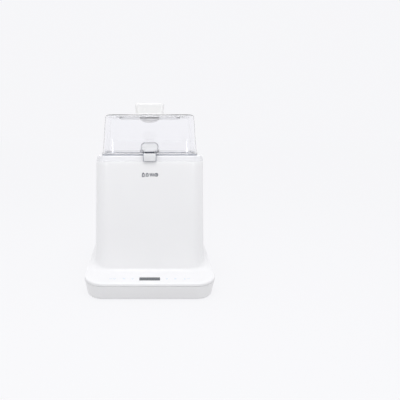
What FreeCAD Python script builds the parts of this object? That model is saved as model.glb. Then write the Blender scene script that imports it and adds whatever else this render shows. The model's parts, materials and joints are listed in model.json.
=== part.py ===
import FreeCAD, Part
import Sketcher
import math
import os
import re

# Bottle steriliser and dryer: an upright white housing on a wide sloping foot, a clear lid
# hinged at the back and latched at the front, and a heated chamber with a tray and a bottle rack.
# Millimetres. The origin is on the floor under the middle of the foot, +Z is up, the front is -Y.

SIZES = (
    # upright housing and its foot
    ("tower_width", 240, "housing, side to side, carried down to the floor"),
    ("tower_depth", 187, "housing, front to back, carried down to the floor"),
    ("tower_corner", 35, "corner radius of the housing at the floor"),
    ("tower_taper", 7.5, "how far each wall leans in by the top"),
    ("tower_top", 274, "height of the housing's top edge"),
    ("side_ledge", 15, "foot beyond the housing at each side"),
    ("front_ledge", 57.5, "foot in front of the housing"),
    ("rear_ledge", 17.5, "foot behind the housing"),
    ("base_corner", 42, "corner radius of the foot"),
    ("deck_front", 37.6, "height of the deck's front edge"),
    ("deck_rise", 0.125, "how much the deck climbs per length towards the back"),
    ("deck_edge", 3.5, "radius along the deck's outer edge"),
    ("flare_radius", 11, "radius where the housing runs into the deck"),
    ("lip_height", 6, "height of the rim under the deck's edge"),
    ("wall", 2.5, "wall of the mouldings"),
    ("parting_gap", 0.6, "shadow line between the mouldings"),
    # base pan
    ("foot_height", 1.2, "height of the rubber feet"),
    ("foot_radius", 10, "radius of the rubber feet"),
    ("foot_sink", 1, "depth that the feet are let into the pan"),
    ("foot_inset_x", 52, "centres of the feet from the foot's sides"),
    ("foot_inset_y", 30, "centres of the feet from its front and back"),
    ("pan_inset", 6, "how far the pan's foot stands in from its rim"),
    ("pan_corner", 36, "corner radius of the pan at its foot"),
    ("pan_edge", 3.5, "bevel around the pan's underside"),
    ("boss_inset_x", 26, "screw bosses from the foot's sides"),
    ("boss_inset_y", 22, "screw bosses from the foot's front and back"),
    ("boss_radius", 4.5, "radius of the screw bosses"),
    ("pillar_height", 9, "height of the pan's screw pillars"),
    ("screw_radius", 1.5, "shank of the case screws"),
    ("screw_head", 3.2, "head radius of the case screws"),
    ("fit", 0.3, "clearance between pieces that are assembled"),
    # collar and chamber
    ("collar_height", 12, "clear collar above the housing"),
    ("collar_taper", 2, "how far the collar leans in by its top"),
    ("collar_edge", 3, "radius around the collar's top"),
    ("rim_width", 16.5, "collar, from its outside to its opening"),
    ("collar_corner", 21, "corner radius of the collar's opening"),
    ("tray_step", 2, "ledge inside the collar on which the tray hangs"),
    ("tub_wall", 2, "wall of the chamber tub"),
    ("tub_flange", 3, "thickness of the tub's flange"),
    ("tub_floor", 66, "height of the chamber's floor"),
    ("tub_taper", 4, "how far each wall of the tub leans in by the floor"),
    ("tub_fillet", 8, "radius between the tub's walls and floor"),
    ("ledge_thickness", 2.5, "ledge in the housing that carries the tub"),
    ("plate_gap", 0.5, "heating plate's rim from the rounding of the tub's floor"),
    ("plate_rim", 6, "rim of the heating plate on its seal"),
    ("plate_thickness", 1.6, "sheet of the heating plate"),
    ("seal_height", 1.2, "height of the plate's seal"),
    # tray and rack
    ("tray_depth", 38, "depth of the upper tray"),
    ("tray_wall", 1.8, "wall of the upper tray"),
    ("rack_gap", 16.3, "top of the rack's grip below the tray"),
    ("post_height", 102, "length of the rack's bottle posts"),
    ("post_radius", 4, "radius of a bottle post at its foot"),
    ("post_pitch_x", 58, "spacing of the posts, side to side"),
    ("post_pitch_y", 62, "spacing of the posts, front to back"),
    # lid
    ("lid_margin", 12.4, "lid's foot from the collar's outside"),
    ("lid_height", 82, "lid, from the flange's underside to its top"),
    ("lid_taper", 7, "how far each side of the lid leans in by its top"),
    ("lid_corner", 27, "corner radius of the lid"),
    ("lid_edge", 6, "radius around the lid's top"),
    ("lid_wall", 2.5, "wall of the clear lid"),
    ("flange_width", 2.2, "flange beyond the lid's foot"),
    ("flange_thickness", 4.6, "thickness of the lid's flange"),
    ("gasket_height", 1.2, "height of the lid's gasket"),
    ("recess_width", 127, "recess in the lid's top, side to side"),
    ("recess_depth", 84, "recess in the lid's top, front to back"),
    ("recess_corner", 24, "corner radius of that recess"),
    ("recess_sink", 4, "how deep that recess is"),
    ("plate_crown", 9.5, "handle plate, from the recess floor to its crown"),
    ("dome_radius", 400, "radius of the handle plate's crown"),
    ("grip_width", 61, "handle, side to side, at its foot"),
    ("grip_depth", 21, "handle, front to back, at its foot"),
    ("grip_flare", 1.8, "how far the handle widens by its top"),
    ("grip_height", 25.5, "handle, from its seat to its top"),
    ("grip_corner", 6.9, "corner radius of the handle"),
    ("seat_gap", 0.1, "gap around the handle in its plate"),
    ("cup_radius", 22, "cap over the handle's screws"),
    ("cup_height", 7.4, "height of that cap"),
    ("handle_screw_pitch", 24, "spacing of the handle's screws"),
    ("handle_screw_radius", 2, "shank of the handle's screws"),
    # latch and hinge
    ("latch_pin_radius", 2, "pin of the latch"),
    ("latch_pin_length", 20.4, "length of the latch's pin"),
    ("latch_drop", 6.3, "pin of the latch above the collar"),
    ("latch_reach", 4, "pin of the latch behind the housing's top edge"),
    ("barrel_radius", 3.6, "barrels around the latch's pin"),
    ("lug_width", 10, "lug of the lid between the latch's barrels"),
    ("pad_width", 36.6, "finger pad of the latch"),
    ("pad_height", 20.1, "height of the finger pad"),
    ("pad_thickness", 2.4, "thickness of the finger pad"),
    ("pad_rim", 2.2, "width of the raised rim on the pad"),
    ("pad_rise", 1.4, "height of that rim"),
    ("tab_width", 26.4, "hook tab of the latch"),
    ("tab_thickness", 2.3, "thickness of the hook tab"),
    ("nose_depth", 0.9, "how far the hook's nose stands in"),
    ("rib_depth", 1.1, "how far the catch rib stands out"),
    ("hinge_radius", 4.5, "knuckles of the lid's hinge"),
    ("hinge_pin_radius", 2, "pin of the lid's hinge"),
    ("hinge_span", 48, "length of the lid's hinge"),
    ("hinge_middle", 23.4, "knuckle of the lid in the middle of the hinge"),
    ("hinge_lift", 5.5, "hinge axis above the collar"),
    ("block_drop", 12, "hinge block below the housing's top edge"),
    ("running_fit", 0.05, "radial clearance of a turning fit"),
    # blower, heater and electrics
    ("fan_x", -52, "blower's axis, side to side"),
    ("fan_y", 62, "blower's axis, front to back"),
    ("fan_radius", 34, "outside radius of the blower's scroll"),
    ("fan_height", 24, "height of the blower's scroll"),
    ("fan_floor", 3.5, "gap under the blower"),
    ("thin_wall", 1.8, "wall of ducts and inner covers"),
    ("impeller_radius", 27, "radius of the impeller"),
    ("blade_count", 24, "blades on the impeller"),
    ("motor_radius", 11, "radius of the blower's motor"),
    ("shaft_radius", 1.5, "radius of the blower's shaft"),
    ("duct_width", 46, "air duct, side to side"),
    ("duct_depth", 9, "air duct, front to back"),
    ("duct_top", 36, "top of the air outlet below the housing's edge"),
    ("outlet_height", 16, "height of the air outlet"),
    ("outlet_width", 38, "width of the air outlet"),
    ("filter_x", -72, "filter cover, side to side"),
    ("filter_width", 66, "width of the filter cover"),
    ("filter_height", 30, "height of the filter cover"),
    ("filter_lift", 7, "filter cover above the pan's bevel"),
    ("inlet_x", 82, "mains inlet, side to side"),
    ("inlet_z", 25, "height of the mains inlet's middle"),
    ("inlet_width", 28, "mains inlet, outside"),
    ("inlet_height", 20.5, "height of the mains inlet, outside"),
    ("socket_width", 24, "mains inlet's socket"),
    ("socket_height", 16.5, "height of that socket"),
    ("socket_depth", 15, "depth of that socket"),
    ("element_radius", 36, "ring of the heating element"),
    ("element_thickness", 3.4, "radius of the element's tube"),
    # display and touch keys
    ("window_width", 42, "display window, side to side"),
    ("window_depth", 12.4, "display window, along the deck"),
    ("window_from_edge", 13, "display window from the deck's front edge"),
    ("window_thickness", 2, "thickness of the display window"),
    ("key_from_edge", 20, "touch keys from the deck's front edge"),
)

# Lengths worked out from the sheet. Each is a formula of size names or of earlier entries.
DERIVED = {
    "base_width": "tower_width + 2 * side_ledge",
    "base_depth": "tower_depth + front_ledge + rear_ledge",
    "tower_y": "(front_ledge - rear_ledge) / 2",
    "top_width": "tower_width - 2 * tower_taper",
    "top_depth": "tower_depth - 2 * tower_taper",
    "top_corner": "tower_corner - tower_taper",
    "top_front_y": "tower_y - top_depth / 2",
    "top_rear_y": "tower_y + top_depth / 2",
    "rear_rise": "deck_rise * base_depth",
    "parting_front": "deck_front - lip_height",
    "parting_rear": "parting_front + rear_rise",
    "pan_rise": "parting_rear - parting_gap - foot_height",
    "pan_floor": "foot_height + wall",
    "pan_foot": "foot_height + pan_edge",
    "foot_x": "base_width / 2 - foot_inset_x",
    "foot_y": "base_depth / 2 - foot_inset_y",
    "boss_x": "base_width / 2 - boss_inset_x",
    "boss_y": "base_depth / 2 - boss_inset_y",
    "pillar_top": "foot_height + pillar_height",
    "collar_top": "tower_top + collar_height",
    "opening_width": "top_width - 2 * rim_width",
    "opening_depth": "top_depth - 2 * rim_width",
    "tub_width": "opening_width - 2 * tray_step",
    "tub_depth": "opening_depth - 2 * tray_step",
    "tub_corner": "collar_corner - tray_step",
    "mouth_width": "top_width - 2 * wall",
    "mouth_depth": "top_depth - 2 * wall",
    "mouth_corner": "top_corner - wall",
    "tub_seat": "tower_top - tub_flange",
    "plate_radius": "tub_depth / 2 - tub_taper - tub_fillet - plate_gap - plate_rim",
    "dish_bottom": "tub_floor - plate_thickness - 0.4",
    "tray_top": "tower_top + fit + 2",
    "tray_width": "tub_width - 2.4",
    "tray_length": "tub_depth - 2.4",
    "rack_width": "tub_width - 2 * tub_taper - 6",
    "rack_depth": "tub_depth - 2 * tub_taper - 6",
    "rack_foot": "tub_floor + seal_height + plate_thickness + 0.4",
    "rack_deck": "rack_foot + 6",
    "rack_top": "tray_top - tray_depth - rack_gap",
    "lid_low": "collar_top + fit + gasket_height",
    "lid_top": "lid_low + lid_height",
    "lid_width": "top_width - 2 * lid_margin",
    "lid_depth": "top_depth - 2 * lid_margin",
    "recess_floor": "lid_top - recess_sink",
    "recess_under": "recess_floor - lid_wall",
    "plate_top": "recess_floor + plate_crown",
    "grip_seat": "plate_top - 3",
    "cup_low": "recess_under - cup_height",
    "latch_y": "top_front_y + latch_reach",
    "lid_front_gap": "lid_margin - latch_reach + 1.5",
    "latch_z": "collar_top + latch_drop",
    "pad_low": "latch_z + 1.1",
    "pad_back_y": "latch_y + 1.2",
    "tab_back_y": "top_front_y - rib_depth - fit - nose_depth",
    "tab_low": "tower_top + 0.8",
    "hinge_y": "top_rear_y + 1",
    "hinge_z": "collar_top + hinge_lift",
    "block_y": "top_rear_y + fit + tower_taper * block_drop / tower_top",
    "block_low": "tower_top - block_drop",
    "fan_low": "pan_floor + fan_floor",
    "fan_top": "fan_low + fan_height",
    "outlet_y": "fan_y + fan_radius - outlet_side / 2",
    "outlet_side": "fan_height - 2",
    "heater_x": "fan_x + fan_radius + 24",
    "duct_x": "heater_x + 13 + duct_width / 2",
    "duct_y": "tower_y + tub_depth / 2 + tub_wall + 1.5 + duct_depth / 2",
    "duct_high": "tower_top - duct_top",
    "inlet_y": "base_depth / 2 - 2.5",
    "strut_z": "dish_bottom - 2 * element_thickness",
}

NAMES = {name for name, number, note in SIZES}
CASE_SCREWS = ((-1, -1), (1, -1), (-1, 1), (1, 1))

doc = FreeCAD.newDocument("BottleSteriliser")
sheet = doc.addObject("Spreadsheet::Sheet", "Sizes")
parts = {}


# ---------------------------------------------------------------- formulas and placing

def fill_sheet():
    """Put every driving size in the sheet as name, number and note, and name its cell."""
    for row, (name, number, note) in enumerate(SIZES, start=1):
        sheet.set(f"A{row}", name)
        sheet.set(f"B{row}", str(number))
        sheet.set(f"C{row}", note)
        sheet.setAlias(f"B{row}", name)
    doc.recompute()


def spell(text):
    """Spell a formula of size names as an expression on the sheet."""
    def word(match):
        name = match.group(0)
        if name in DERIVED:
            return "(" + spell(DERIVED[name]) + ")"
        return "Sizes." + name if name in NAMES else name
    return re.sub(r"[a-z][a-z0-9_]*", word, str(text))


def value(text):
    """The number that a formula gives now."""
    return float(sheet.evalExpression(spell(text)))


def bind(item, **formulas):
    """Bind properties to formulas; a double underscore stands for a dot."""
    for name, text in formulas.items():
        item.setExpression(name.replace("__", "."), spell(text))


def place(item, x="0", y="0", z="0"):
    bind(item, Placement__Base__x=x, Placement__Base__y=y, Placement__Base__z=z)
    return item


def turn(item, axis, angle):
    """Turn an object about its own corner; the angle is a number or a formula."""
    item.Placement = FreeCAD.Placement(FreeCAD.Vector(), FreeCAD.Rotation(FreeCAD.Vector(*axis), 5))
    bind(item, Placement__Rotation__Angle=angle)
    return item


def deck_z(y):
    """Height of the deck's plane at a place from front to back."""
    return f"(deck_front + deck_rise * (({y}) + base_depth / 2))"


# ---------------------------------------------------------------- primitives and booleans

def box(label, length, width, height, x="0", y="0", z="0"):
    """Block centred on x and y that stands on z."""
    item = doc.addObject("Part::Box", label)
    bind(item, Length=length, Width=width, Height=height)
    return place(item, f"({x}) - ({length}) / 2", f"({y}) - ({width}) / 2", z)


def cylinder(label, radius, height, x="0", y="0", z="0"):
    """Upright cylinder that stands on z."""
    item = doc.addObject("Part::Cylinder", label)
    bind(item, Radius=radius, Height=height)
    return place(item, x, y, z)


def axle(label, radius, length, x, y, z):
    """Cylinder along X with its middle at the point given."""
    item = doc.addObject("Part::Cylinder", label)
    bind(item, Radius=radius, Height=length)
    turn(item, (0, 1, 0), "90")
    return place(item, f"({x}) - ({length}) / 2", y, z)


def on_deck(item, x, along, depth):
    """Lay an object on the deck's slope: along from its front edge, depth below its face."""
    slope = "atan(deck_rise)"
    turn(item, (1, 0, 0), slope)
    place(item, x, f"0 - base_depth / 2 + ({along}) * cos({slope}) + ({depth}) * sin({slope})",
          f"deck_front + ({along}) * sin({slope}) - ({depth}) * cos({slope})")
    return item


def on_rear_wall(item, x, up, depth):
    """Set an object in the pan's leaning rear wall: up from the bevel, depth below its face."""
    lean = "atan(pan_inset / (pan_rise - pan_edge))"
    turn(item, (-1, 0, 0), lean)
    place(item, x, f"base_depth / 2 - pan_inset + ({up}) * sin({lean}) - ({depth}) * cos({lean})",
          f"pan_foot + ({up}) * cos({lean}) + ({depth}) * sin({lean})")
    return item


def fuse(label, *items):
    joined = doc.addObject("Part::MultiFuse", label)
    joined.Shapes = list(items)
    return joined


def cut(label, base, *tools):
    item = doc.addObject("Part::Cut", label)
    item.Base = base
    item.Tool = tools[0] if len(tools) == 1 else fuse(label + "_tools", *tools)
    return item


def common(label, first, second):
    item = doc.addObject("Part::Common", label)
    item.Base = first
    item.Tool = second
    return item


def keep(name, item):
    """Name an object as a finished sub-part."""
    item.Label = name
    parts[name] = item
    return item


# ---------------------------------------------------------------- bodies, sketches and features

def new_body(name):
    return doc.addObject("PartDesign::Body", name)


def sketch_on(body, role, offset="0"):
    """Empty sketch on one of the body's own planes, moved along the plane's normal."""
    plane = [item for item in body.Origin.OriginFeatures if item.Role == role][0]
    sketch = body.newObject("Sketcher::SketchObject", body.Name + "_sketch")
    sketch.AttachmentSupport = [(plane, "")]
    sketch.MapMode = "FlatFace"
    bind(sketch, AttachmentOffset__Base__z=offset)
    return sketch


def rule(sketch, formula, *constraint):
    """Add a dimension and bind it to a formula."""
    index = sketch.addConstraint(Sketcher.Constraint(*constraint, value(formula)))
    sketch.setExpression(f"Constraints[{index}]", spell(formula))


def rounded_outline(body, width, depth, radius, x="0", y="0", z="0", sloped=False):
    """Rounded rectangle: four sides and four equal corner arcs, centred on x and y."""
    sketch = sketch_on(body, "XY_Plane", z)
    if sloped:
        tilt = FreeCAD.Rotation(FreeCAD.Vector(1, 0, 0), 5)
        sketch.AttachmentOffset = FreeCAD.Placement(FreeCAD.Vector(), tilt)
        bind(sketch, AttachmentOffset__Rotation__Angle="atan(deck_rise)")
    bind(sketch, AttachmentOffset__Base__x=x, AttachmentOffset__Base__y=y)
    half_x = value(width) / 2
    half_y = value(depth) / 2
    bend = value(radius)
    point = FreeCAD.Vector
    quarter = math.pi / 2
    sides = (
        (point(half_x - bend, half_y), point(bend - half_x, half_y)),
        (point(-half_x, half_y - bend), point(-half_x, bend - half_y)),
        (point(bend - half_x, -half_y), point(half_x - bend, -half_y)),
        (point(half_x, bend - half_y), point(half_x, half_y - bend)),
    )
    centres = (
        point(bend - half_x, half_y - bend), point(bend - half_x, bend - half_y),
        point(half_x - bend, bend - half_y), point(half_x - bend, half_y - bend),
    )
    for index, (side, centre) in enumerate(zip(sides, centres)):
        circle = Part.Circle(centre, point(0, 0, 1), bend)
        sketch.addGeometry(Part.LineSegment(*side))
        sketch.addGeometry(Part.ArcOfCircle(circle, (index + 1) * quarter, (index + 2) * quarter))
    for index in range(8):
        sketch.addConstraint(Sketcher.Constraint("Tangent", index, 2, (index + 1) % 8, 1))
    for index, direction in enumerate(("Horizontal", "Vertical", "Horizontal", "Vertical")):
        sketch.addConstraint(Sketcher.Constraint(direction, 2 * index))
    for index in (3, 5, 7):
        sketch.addConstraint(Sketcher.Constraint("Equal", 1, index))
    sketch.addConstraint(Sketcher.Constraint("Symmetric", 1, 3, 5, 3, -1, 1))
    rule(sketch, radius, "Radius", 1)
    rule(sketch, f"({width}) - 2 * ({radius})", "DistanceX", 3, 3, 5, 3)
    rule(sketch, f"({depth}) - 2 * ({radius})", "DistanceY", 3, 3, 1, 3)
    return sketch


def circle_outline(body, radius, x="0", y="0", z="0"):
    """Circle about a point on a level plane."""
    sketch = sketch_on(body, "XY_Plane", z)
    bind(sketch, AttachmentOffset__Base__x=x, AttachmentOffset__Base__y=y)
    up = FreeCAD.Vector(0, 0, 1)
    sketch.addGeometry(Part.Circle(FreeCAD.Vector(), up, value(radius)))
    sketch.addConstraint(Sketcher.Constraint("Coincident", 0, 3, -1, 1))
    rule(sketch, radius, "Radius", 0)
    return sketch


def polygon_outline(body, role, corners, offset="0"):
    """Closed polygon whose corners are pairs of formulas on one of the body's planes."""
    sketch = sketch_on(body, role, offset)
    points = [FreeCAD.Vector(value(u), value(v), 0) for u, v in corners]
    count = len(points)
    for index in range(count):
        sketch.addGeometry(Part.LineSegment(points[index], points[(index + 1) % count]))
    for index in range(count):
        sketch.addConstraint(Sketcher.Constraint("Coincident", index, 2, (index + 1) % count, 1))
    for index, (u, v) in enumerate(corners):
        if u == "0":
            sketch.addConstraint(Sketcher.Constraint("PointOnObject", index, 1, -2))
        else:
            rule(sketch, u, "DistanceX", -1, 1, index, 1)
        if v == "0":
            sketch.addConstraint(Sketcher.Constraint("PointOnObject", index, 1, -1))
        else:
            rule(sketch, v, "DistanceY", -1, 1, index, 1)
    return sketch


def feature(body, kind, outline):
    """Add a feature made from a sketch and make it the body's tip."""
    item = body.newObject("PartDesign::" + kind, f"{body.Name}_{kind}")
    item.Profile = (outline, [""])
    body.Tip = item
    return item


def pad(body, outline, length, symmetric=False):
    item = feature(body, "Pad", outline)
    item.SideType = "Symmetric" if symmetric else "One side"
    bind(item, Length=length)
    return item


def pocket(body, outline, length):
    """Cut away what lies within the outline, half of the length on each side of its plane."""
    item = feature(body, "Pocket", outline)
    item.SideType = "Symmetric"
    bind(item, Length=length)
    return item


def loft(body, kind, lowest, *others):
    item = feature(body, kind, lowest)
    item.Sections = list(others)
    item.Ruled = True
    return item


def revolve(body, outline):
    item = feature(body, "Revolution", outline)
    item.ReferenceAxis = (outline, ["V_Axis"])
    item.Angle = 360
    return item


def round_edges(body, radius, chosen):
    """Fillet the edges of the body for which the test holds."""
    doc.recompute()
    base = body.Tip
    names = [f"Edge{number}" for number, edge in enumerate(base.Shape.Edges, start=1) if chosen(edge)]
    if not names:
        raise RuntimeError("no edges to round on " + body.Name)
    item = body.newObject("PartDesign::Fillet", body.Name + "_Fillet")
    item.Base = (base, names)
    body.Tip = item
    bind(item, Radius=radius)
    return item


def level(edge, height):
    """True for an edge whose ends and middle lie at one height."""
    middle = edge.valueAt((edge.FirstParameter + edge.LastParameter) / 2)
    return all(abs(z - height) < 0.02 for z in [middle.z] + [end.Z for end in edge.Vertexes])


def upright_prism(name, width, depth, corner, low, height, x="0", y="0"):
    """Rounded block, pushed up from a level outline."""
    body = new_body(name)
    pad(body, rounded_outline(body, width, depth, corner, x, y, low), height)
    return body


def lean_walls(body, taper, height, widen=False):
    """Draft the upright walls from the foot, so that they lean by the taper over the height."""
    doc.recompute()
    base = body.Tip
    walls = []
    foot = []
    for number, face in enumerate(base.Shape.Faces, start=1):
        if abs(face.normalAt(0, 0).z) < 0.5:
            walls.append(f"Face{number}")
        elif abs(face.CenterOfMass.z - base.Shape.BoundBox.ZMin) < 0.02:
            foot.append(f"Face{number}")
    item = body.newObject("PartDesign::Draft", body.Name + "_Draft")
    item.Base = (base, walls)
    item.NeutralPlane = (base, foot)
    item.Reversed = widen
    body.Tip = item
    bind(item, Angle=f"atan(({taper}) / ({height}))")
    return item


def tapered_prism(name, width, depth, corner, low, height, taper, y="tower_y", widen=False):
    """Rounded block whose walls lean in by the taper, or out where it widens. Sizes are its foot's."""
    body = upright_prism(name, width, depth, corner, low, height, y=y)
    lean_walls(body, taper, height, widen)
    return body


# ---------------------------------------------------------------- housing and base pan

def under_plane(body, drop):
    """Cut away all below the plane that lies drop below the deck."""
    reach = "(base_depth / 2 + 5)"
    low = "0 - deck_front - 60"
    outline = polygon_outline(body, "YZ_Plane", (
        (f"0 - {reach}", deck_z(f"0 - {reach}") + f" - ({drop})"),
        (reach, deck_z(reach) + f" - ({drop})"),
        (reach, low), (f"0 - {reach}", low)))
    pocket(body, outline, "base_width + 20")


def spots_along(edge):
    """Four points of an edge, its ends among them."""
    length = edge.LastParameter - edge.FirstParameter
    return [edge.valueAt(edge.FirstParameter + part * length) for part in (0, 0.3, 0.7, 1)]


def on_deck_plane(edge, drop):
    """True for an edge that lies on the plane drop below the deck."""
    height = value(deck_z("0")) - drop
    rise = value("deck_rise")
    return all(abs(spot.z - height - rise * spot.y) < 0.02 for spot in spots_along(edge))


def near_tower(edge):
    """True for an edge that stays within the housing's outline, not out at the foot's rim."""
    reach_x = value("tower_width / 2") + 2
    reach_y = value("tower_depth / 2") + 2
    middle = value("tower_y")
    return all(abs(spot.x) < reach_x and abs(spot.y - middle) < reach_y for spot in spots_along(edge))


def housing_form(name, inset, rim_height):
    """Solid form of the housing, inset by a wall: leaning tower, sloping deck slab and flare."""
    body = tapered_prism(name, f"tower_width - 2 * ({inset})", f"tower_depth - 2 * ({inset})",
                         f"tower_corner - ({inset})", "0", "tower_top", "tower_taper")
    slab = rounded_outline(body, f"base_width - 2 * ({inset})",
                           f"(base_depth - 2 * ({inset})) / cos(atan(deck_rise))",
                           f"base_corner - ({inset})", z=f"{deck_z('0')} - ({inset})", sloped=True)
    block = pad(body, slab, "deck_front + rear_rise + 20")
    block.UseCustomVector = True
    block.Direction = (0, 0, -1)
    under_plane(body, rim_height)
    drop = value(inset)
    round_edges(body, f"flare_radius + ({inset})",
                lambda edge: on_deck_plane(edge, drop) and near_tower(edge))
    round_edges(body, f"deck_edge - ({inset}) * 0.8", lambda edge: on_deck_plane(edge, drop))
    return body


def make_housing():
    """Deck and upright in one moulding, with the ledge that carries the tub and four bosses."""
    outer = housing_form("housing_outer", "0", "lip_height")
    inner = housing_form("housing_inner", "wall", "lip_height + 1")
    shell = cut("housing_shell", outer, inner)
    ledge_low = "tub_seat - ledge_thickness"
    frame = upright_prism("housing_ledge", "mouth_width + wall", "mouth_depth + wall", "mouth_corner",
                          ledge_low, "ledge_thickness", y="tower_y")
    hole = upright_prism("housing_mouth", "tub_width + 2 * tub_wall + 2 * fit",
                         "tub_depth + 2 * tub_wall + 2 * fit", "tub_corner + tub_wall + fit",
                         ledge_low + " - 1", "ledge_thickness + 2", y="tower_y")
    ledge = cut("housing_seat", frame, hole)
    pieces = [shell, ledge]
    holes = [box("window_hole", "window_width + 2 * fit", "window_depth + 2 * fit", "wall + 3")]
    on_deck(holes[0], "0 - window_width / 2 - fit", "window_from_edge - fit", "wall + 1")
    for side, end in CASE_SCREWS:
        x = f"{side} * boss_x"
        y = f"{end} * boss_y"
        low = "pillar_top + fit"
        pieces.append(cylinder("boss", "boss_radius", f"{deck_z(y)} - 0.5 - ({low})", x, y, low))
        holes.append(cylinder("boss_bore", "screw_radius", "14", x, y, low + " - 1"))
    for side in (-1, 1):
        bore = cylinder("hinge_bore", "1.5", "14")
        turn(bore, (1, 0, 0), "90")
        holes.append(place(bore, f"{side} * hinge_span / 3", "top_rear_y + 5", "block_low + 5"))
    keep("body_housing", cut("housing_bored", fuse("housing_body", *pieces), *holes))


def pan_form(name, inset, low, drop, bevel):
    """Solid form of the pan between its level underside and the sloping parting plane."""
    body = new_body(name)
    lower = rounded_outline(body, f"base_width - 2 * pan_inset - 2 * ({inset})",
                            f"base_depth - 2 * pan_inset - 2 * ({inset})", f"pan_corner - ({inset})",
                            z=f"({low}) + ({bevel})")
    under = rounded_outline(body, f"base_width - 2 * pan_inset - 2 * ({inset}) - 2 * ({bevel})",
                            f"base_depth - 2 * pan_inset - 2 * ({inset}) - 2 * ({bevel})",
                            f"pan_corner - ({inset}) - ({bevel})", z=low)
    upper = rounded_outline(body, f"base_width - 2 * ({inset})",
                            f"(base_depth - 2 * ({inset})) / cos(atan(deck_rise))",
                            f"base_corner - ({inset})", z=f"{deck_z('0')} - ({drop})", sloped=True)
    loft(body, "AdditiveLoft", under, lower, upper)
    return body


def make_pan():
    """Leaning tray that closes the foot from below: pillars, air slots and two rear openings."""
    outer = pan_form("pan_outer", "0", "foot_height", "lip_height + parting_gap", "pan_edge")
    inner = pan_form("pan_inner", "wall", "pan_floor", "lip_height + parting_gap - 1", "pan_edge - 1")
    pieces = [cut("pan_shell", outer, inner)]
    holes = []
    for side, end in CASE_SCREWS:
        x = f"{side} * boss_x"
        y = f"{end} * boss_y"
        pieces.append(cylinder("pillar", "screw_head + 2.3", "pillar_height", x, y, "foot_height"))
        holes.append(cylinder("head_well", "screw_head + 0.4", "pillar_height - 3", x, y, "foot_height"))
        holes.append(cylinder("screw_way", "screw_radius + 0.3", "pillar_height + 1", x, y, "foot_height"))
        holes.append(cylinder("foot_well", "foot_radius + 0.2", "foot_sink", f"{side} * foot_x",
                              f"{end} * foot_y", "foot_height"))
    for step in range(9):
        for side in (-1, 1):
            x = f"{side} * 52 + {7 * (step - 4)}"
            holes.append(box("air_slot", "3", "34", "wall + 2", x, "0 - 20", "foot_height - 1"))
    holes.append(box("inlet_hole", "inlet_width + 2 * fit", "24", "inlet_height + 2 * fit",
                     "inlet_x", "inlet_y", "inlet_z - inlet_height / 2 - fit"))
    window = box("filter_hole", "filter_width + 2 * fit", "12", "filter_height + 2 * fit")
    holes.append(on_rear_wall(window, "filter_x - filter_width / 2 - fit", "filter_lift - fit", "8"))
    keep("base_pan", cut("pan_bored", fuse("pan_body", *pieces), *holes))


def make_feet_and_screws():
    feet = []
    screws = []
    for side, end in CASE_SCREWS:
        feet.append(cylinder("foot", "foot_radius", "foot_height + foot_sink - 0.1",
                             f"{side} * foot_x", f"{end} * foot_y", "0"))
        x = f"{side} * boss_x"
        y = f"{end} * boss_y"
        seat = "pillar_top - 3"
        screws.append(cylinder("screw_top", "screw_head", "1.8", x, y, seat + " - 1.8"))
        screws.append(cylinder("screw_shank", "screw_radius - 0.02", "13", x, y, seat))
    keep("feet", fuse("feet_group", *feet))
    keep("case_screws", fuse("screw_group", *screws))


# ---------------------------------------------------------------- collar, tub and heating plate

def make_collar():
    """Clear ring on the housing's top edge, with the catch rib for the latch at the front."""
    outer = tapered_prism("collar_outer", "top_width", "top_depth", "top_corner", "tower_top",
                          "collar_height", "collar_taper")
    round_edges(outer, "collar_edge", lambda edge: level(edge, value("collar_top")))
    opening = upright_prism("collar_opening", "opening_width", "opening_depth", "collar_corner",
                            "tower_top - 1", "collar_height + 2", y="tower_y")
    rib = new_body("catch_rib")
    profile = polygon_outline(rib, "YZ_Plane", (
        ("top_front_y + 1.5", "tab_low + 2.9"), ("top_front_y - rib_depth", "tab_low + 2.9"),
        ("top_front_y - rib_depth", "tab_low + 4.1"), ("top_front_y + 1.5", "tab_low + 6")))
    pad(rib, profile, "tab_width - 6", symmetric=True)
    keep("tub_collar", cut("collar_ring", fuse("collar_body", outer, rib), opening))


def tub_form(name, inset, low, top):
    """Solid form of the tub: walls that lean out as they rise, and a rounded foot."""
    body = tapered_prism(name, f"tub_width - 2 * tub_taper + 2 * ({inset})",
                         f"tub_depth - 2 * tub_taper + 2 * ({inset})",
                         f"tub_corner - tub_taper + ({inset})", low, f"({top}) - ({low})", "tub_taper",
                         widen=True)
    round_edges(body, f"tub_fillet + ({inset})", lambda edge: level(edge, value(low)))
    return body


def make_tub():
    """Chamber tub with a flange, a round opening for the heating plate and an air opening."""
    outer = tub_form("tub_outer", "tub_wall", "tub_floor - tub_wall", "tower_top")
    inner = tub_form("tub_inner", "0", "tub_floor", "tower_top + 0.01")
    flange = upright_prism("tub_rim", "mouth_width - 2 * fit", "mouth_depth - 2 * fit",
                           "mouth_corner - fit", "tub_seat", "tub_flange", y="tower_y")
    hole = cylinder("plate_hole", "plate_radius + 2.2", "10", "0", "tower_y", "tub_floor - 6")
    vent = box("vent_hole", "outlet_width", "16", "outlet_height", "duct_x",
               "tower_y + tub_depth / 2", "duct_high - outlet_height")
    posts = []
    for side in (-1, 1):
        posts.append(cylinder("strut_post", "5", "tub_floor - tub_wall - strut_z + 0.5",
                              f"{side} * (plate_radius + 13)", "tower_y", "strut_z"))
    walls = fuse("tub_body", outer, flange, *posts)
    keep("inner_tub", cut("tub_bored", walls, inner, hole, vent))


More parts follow.
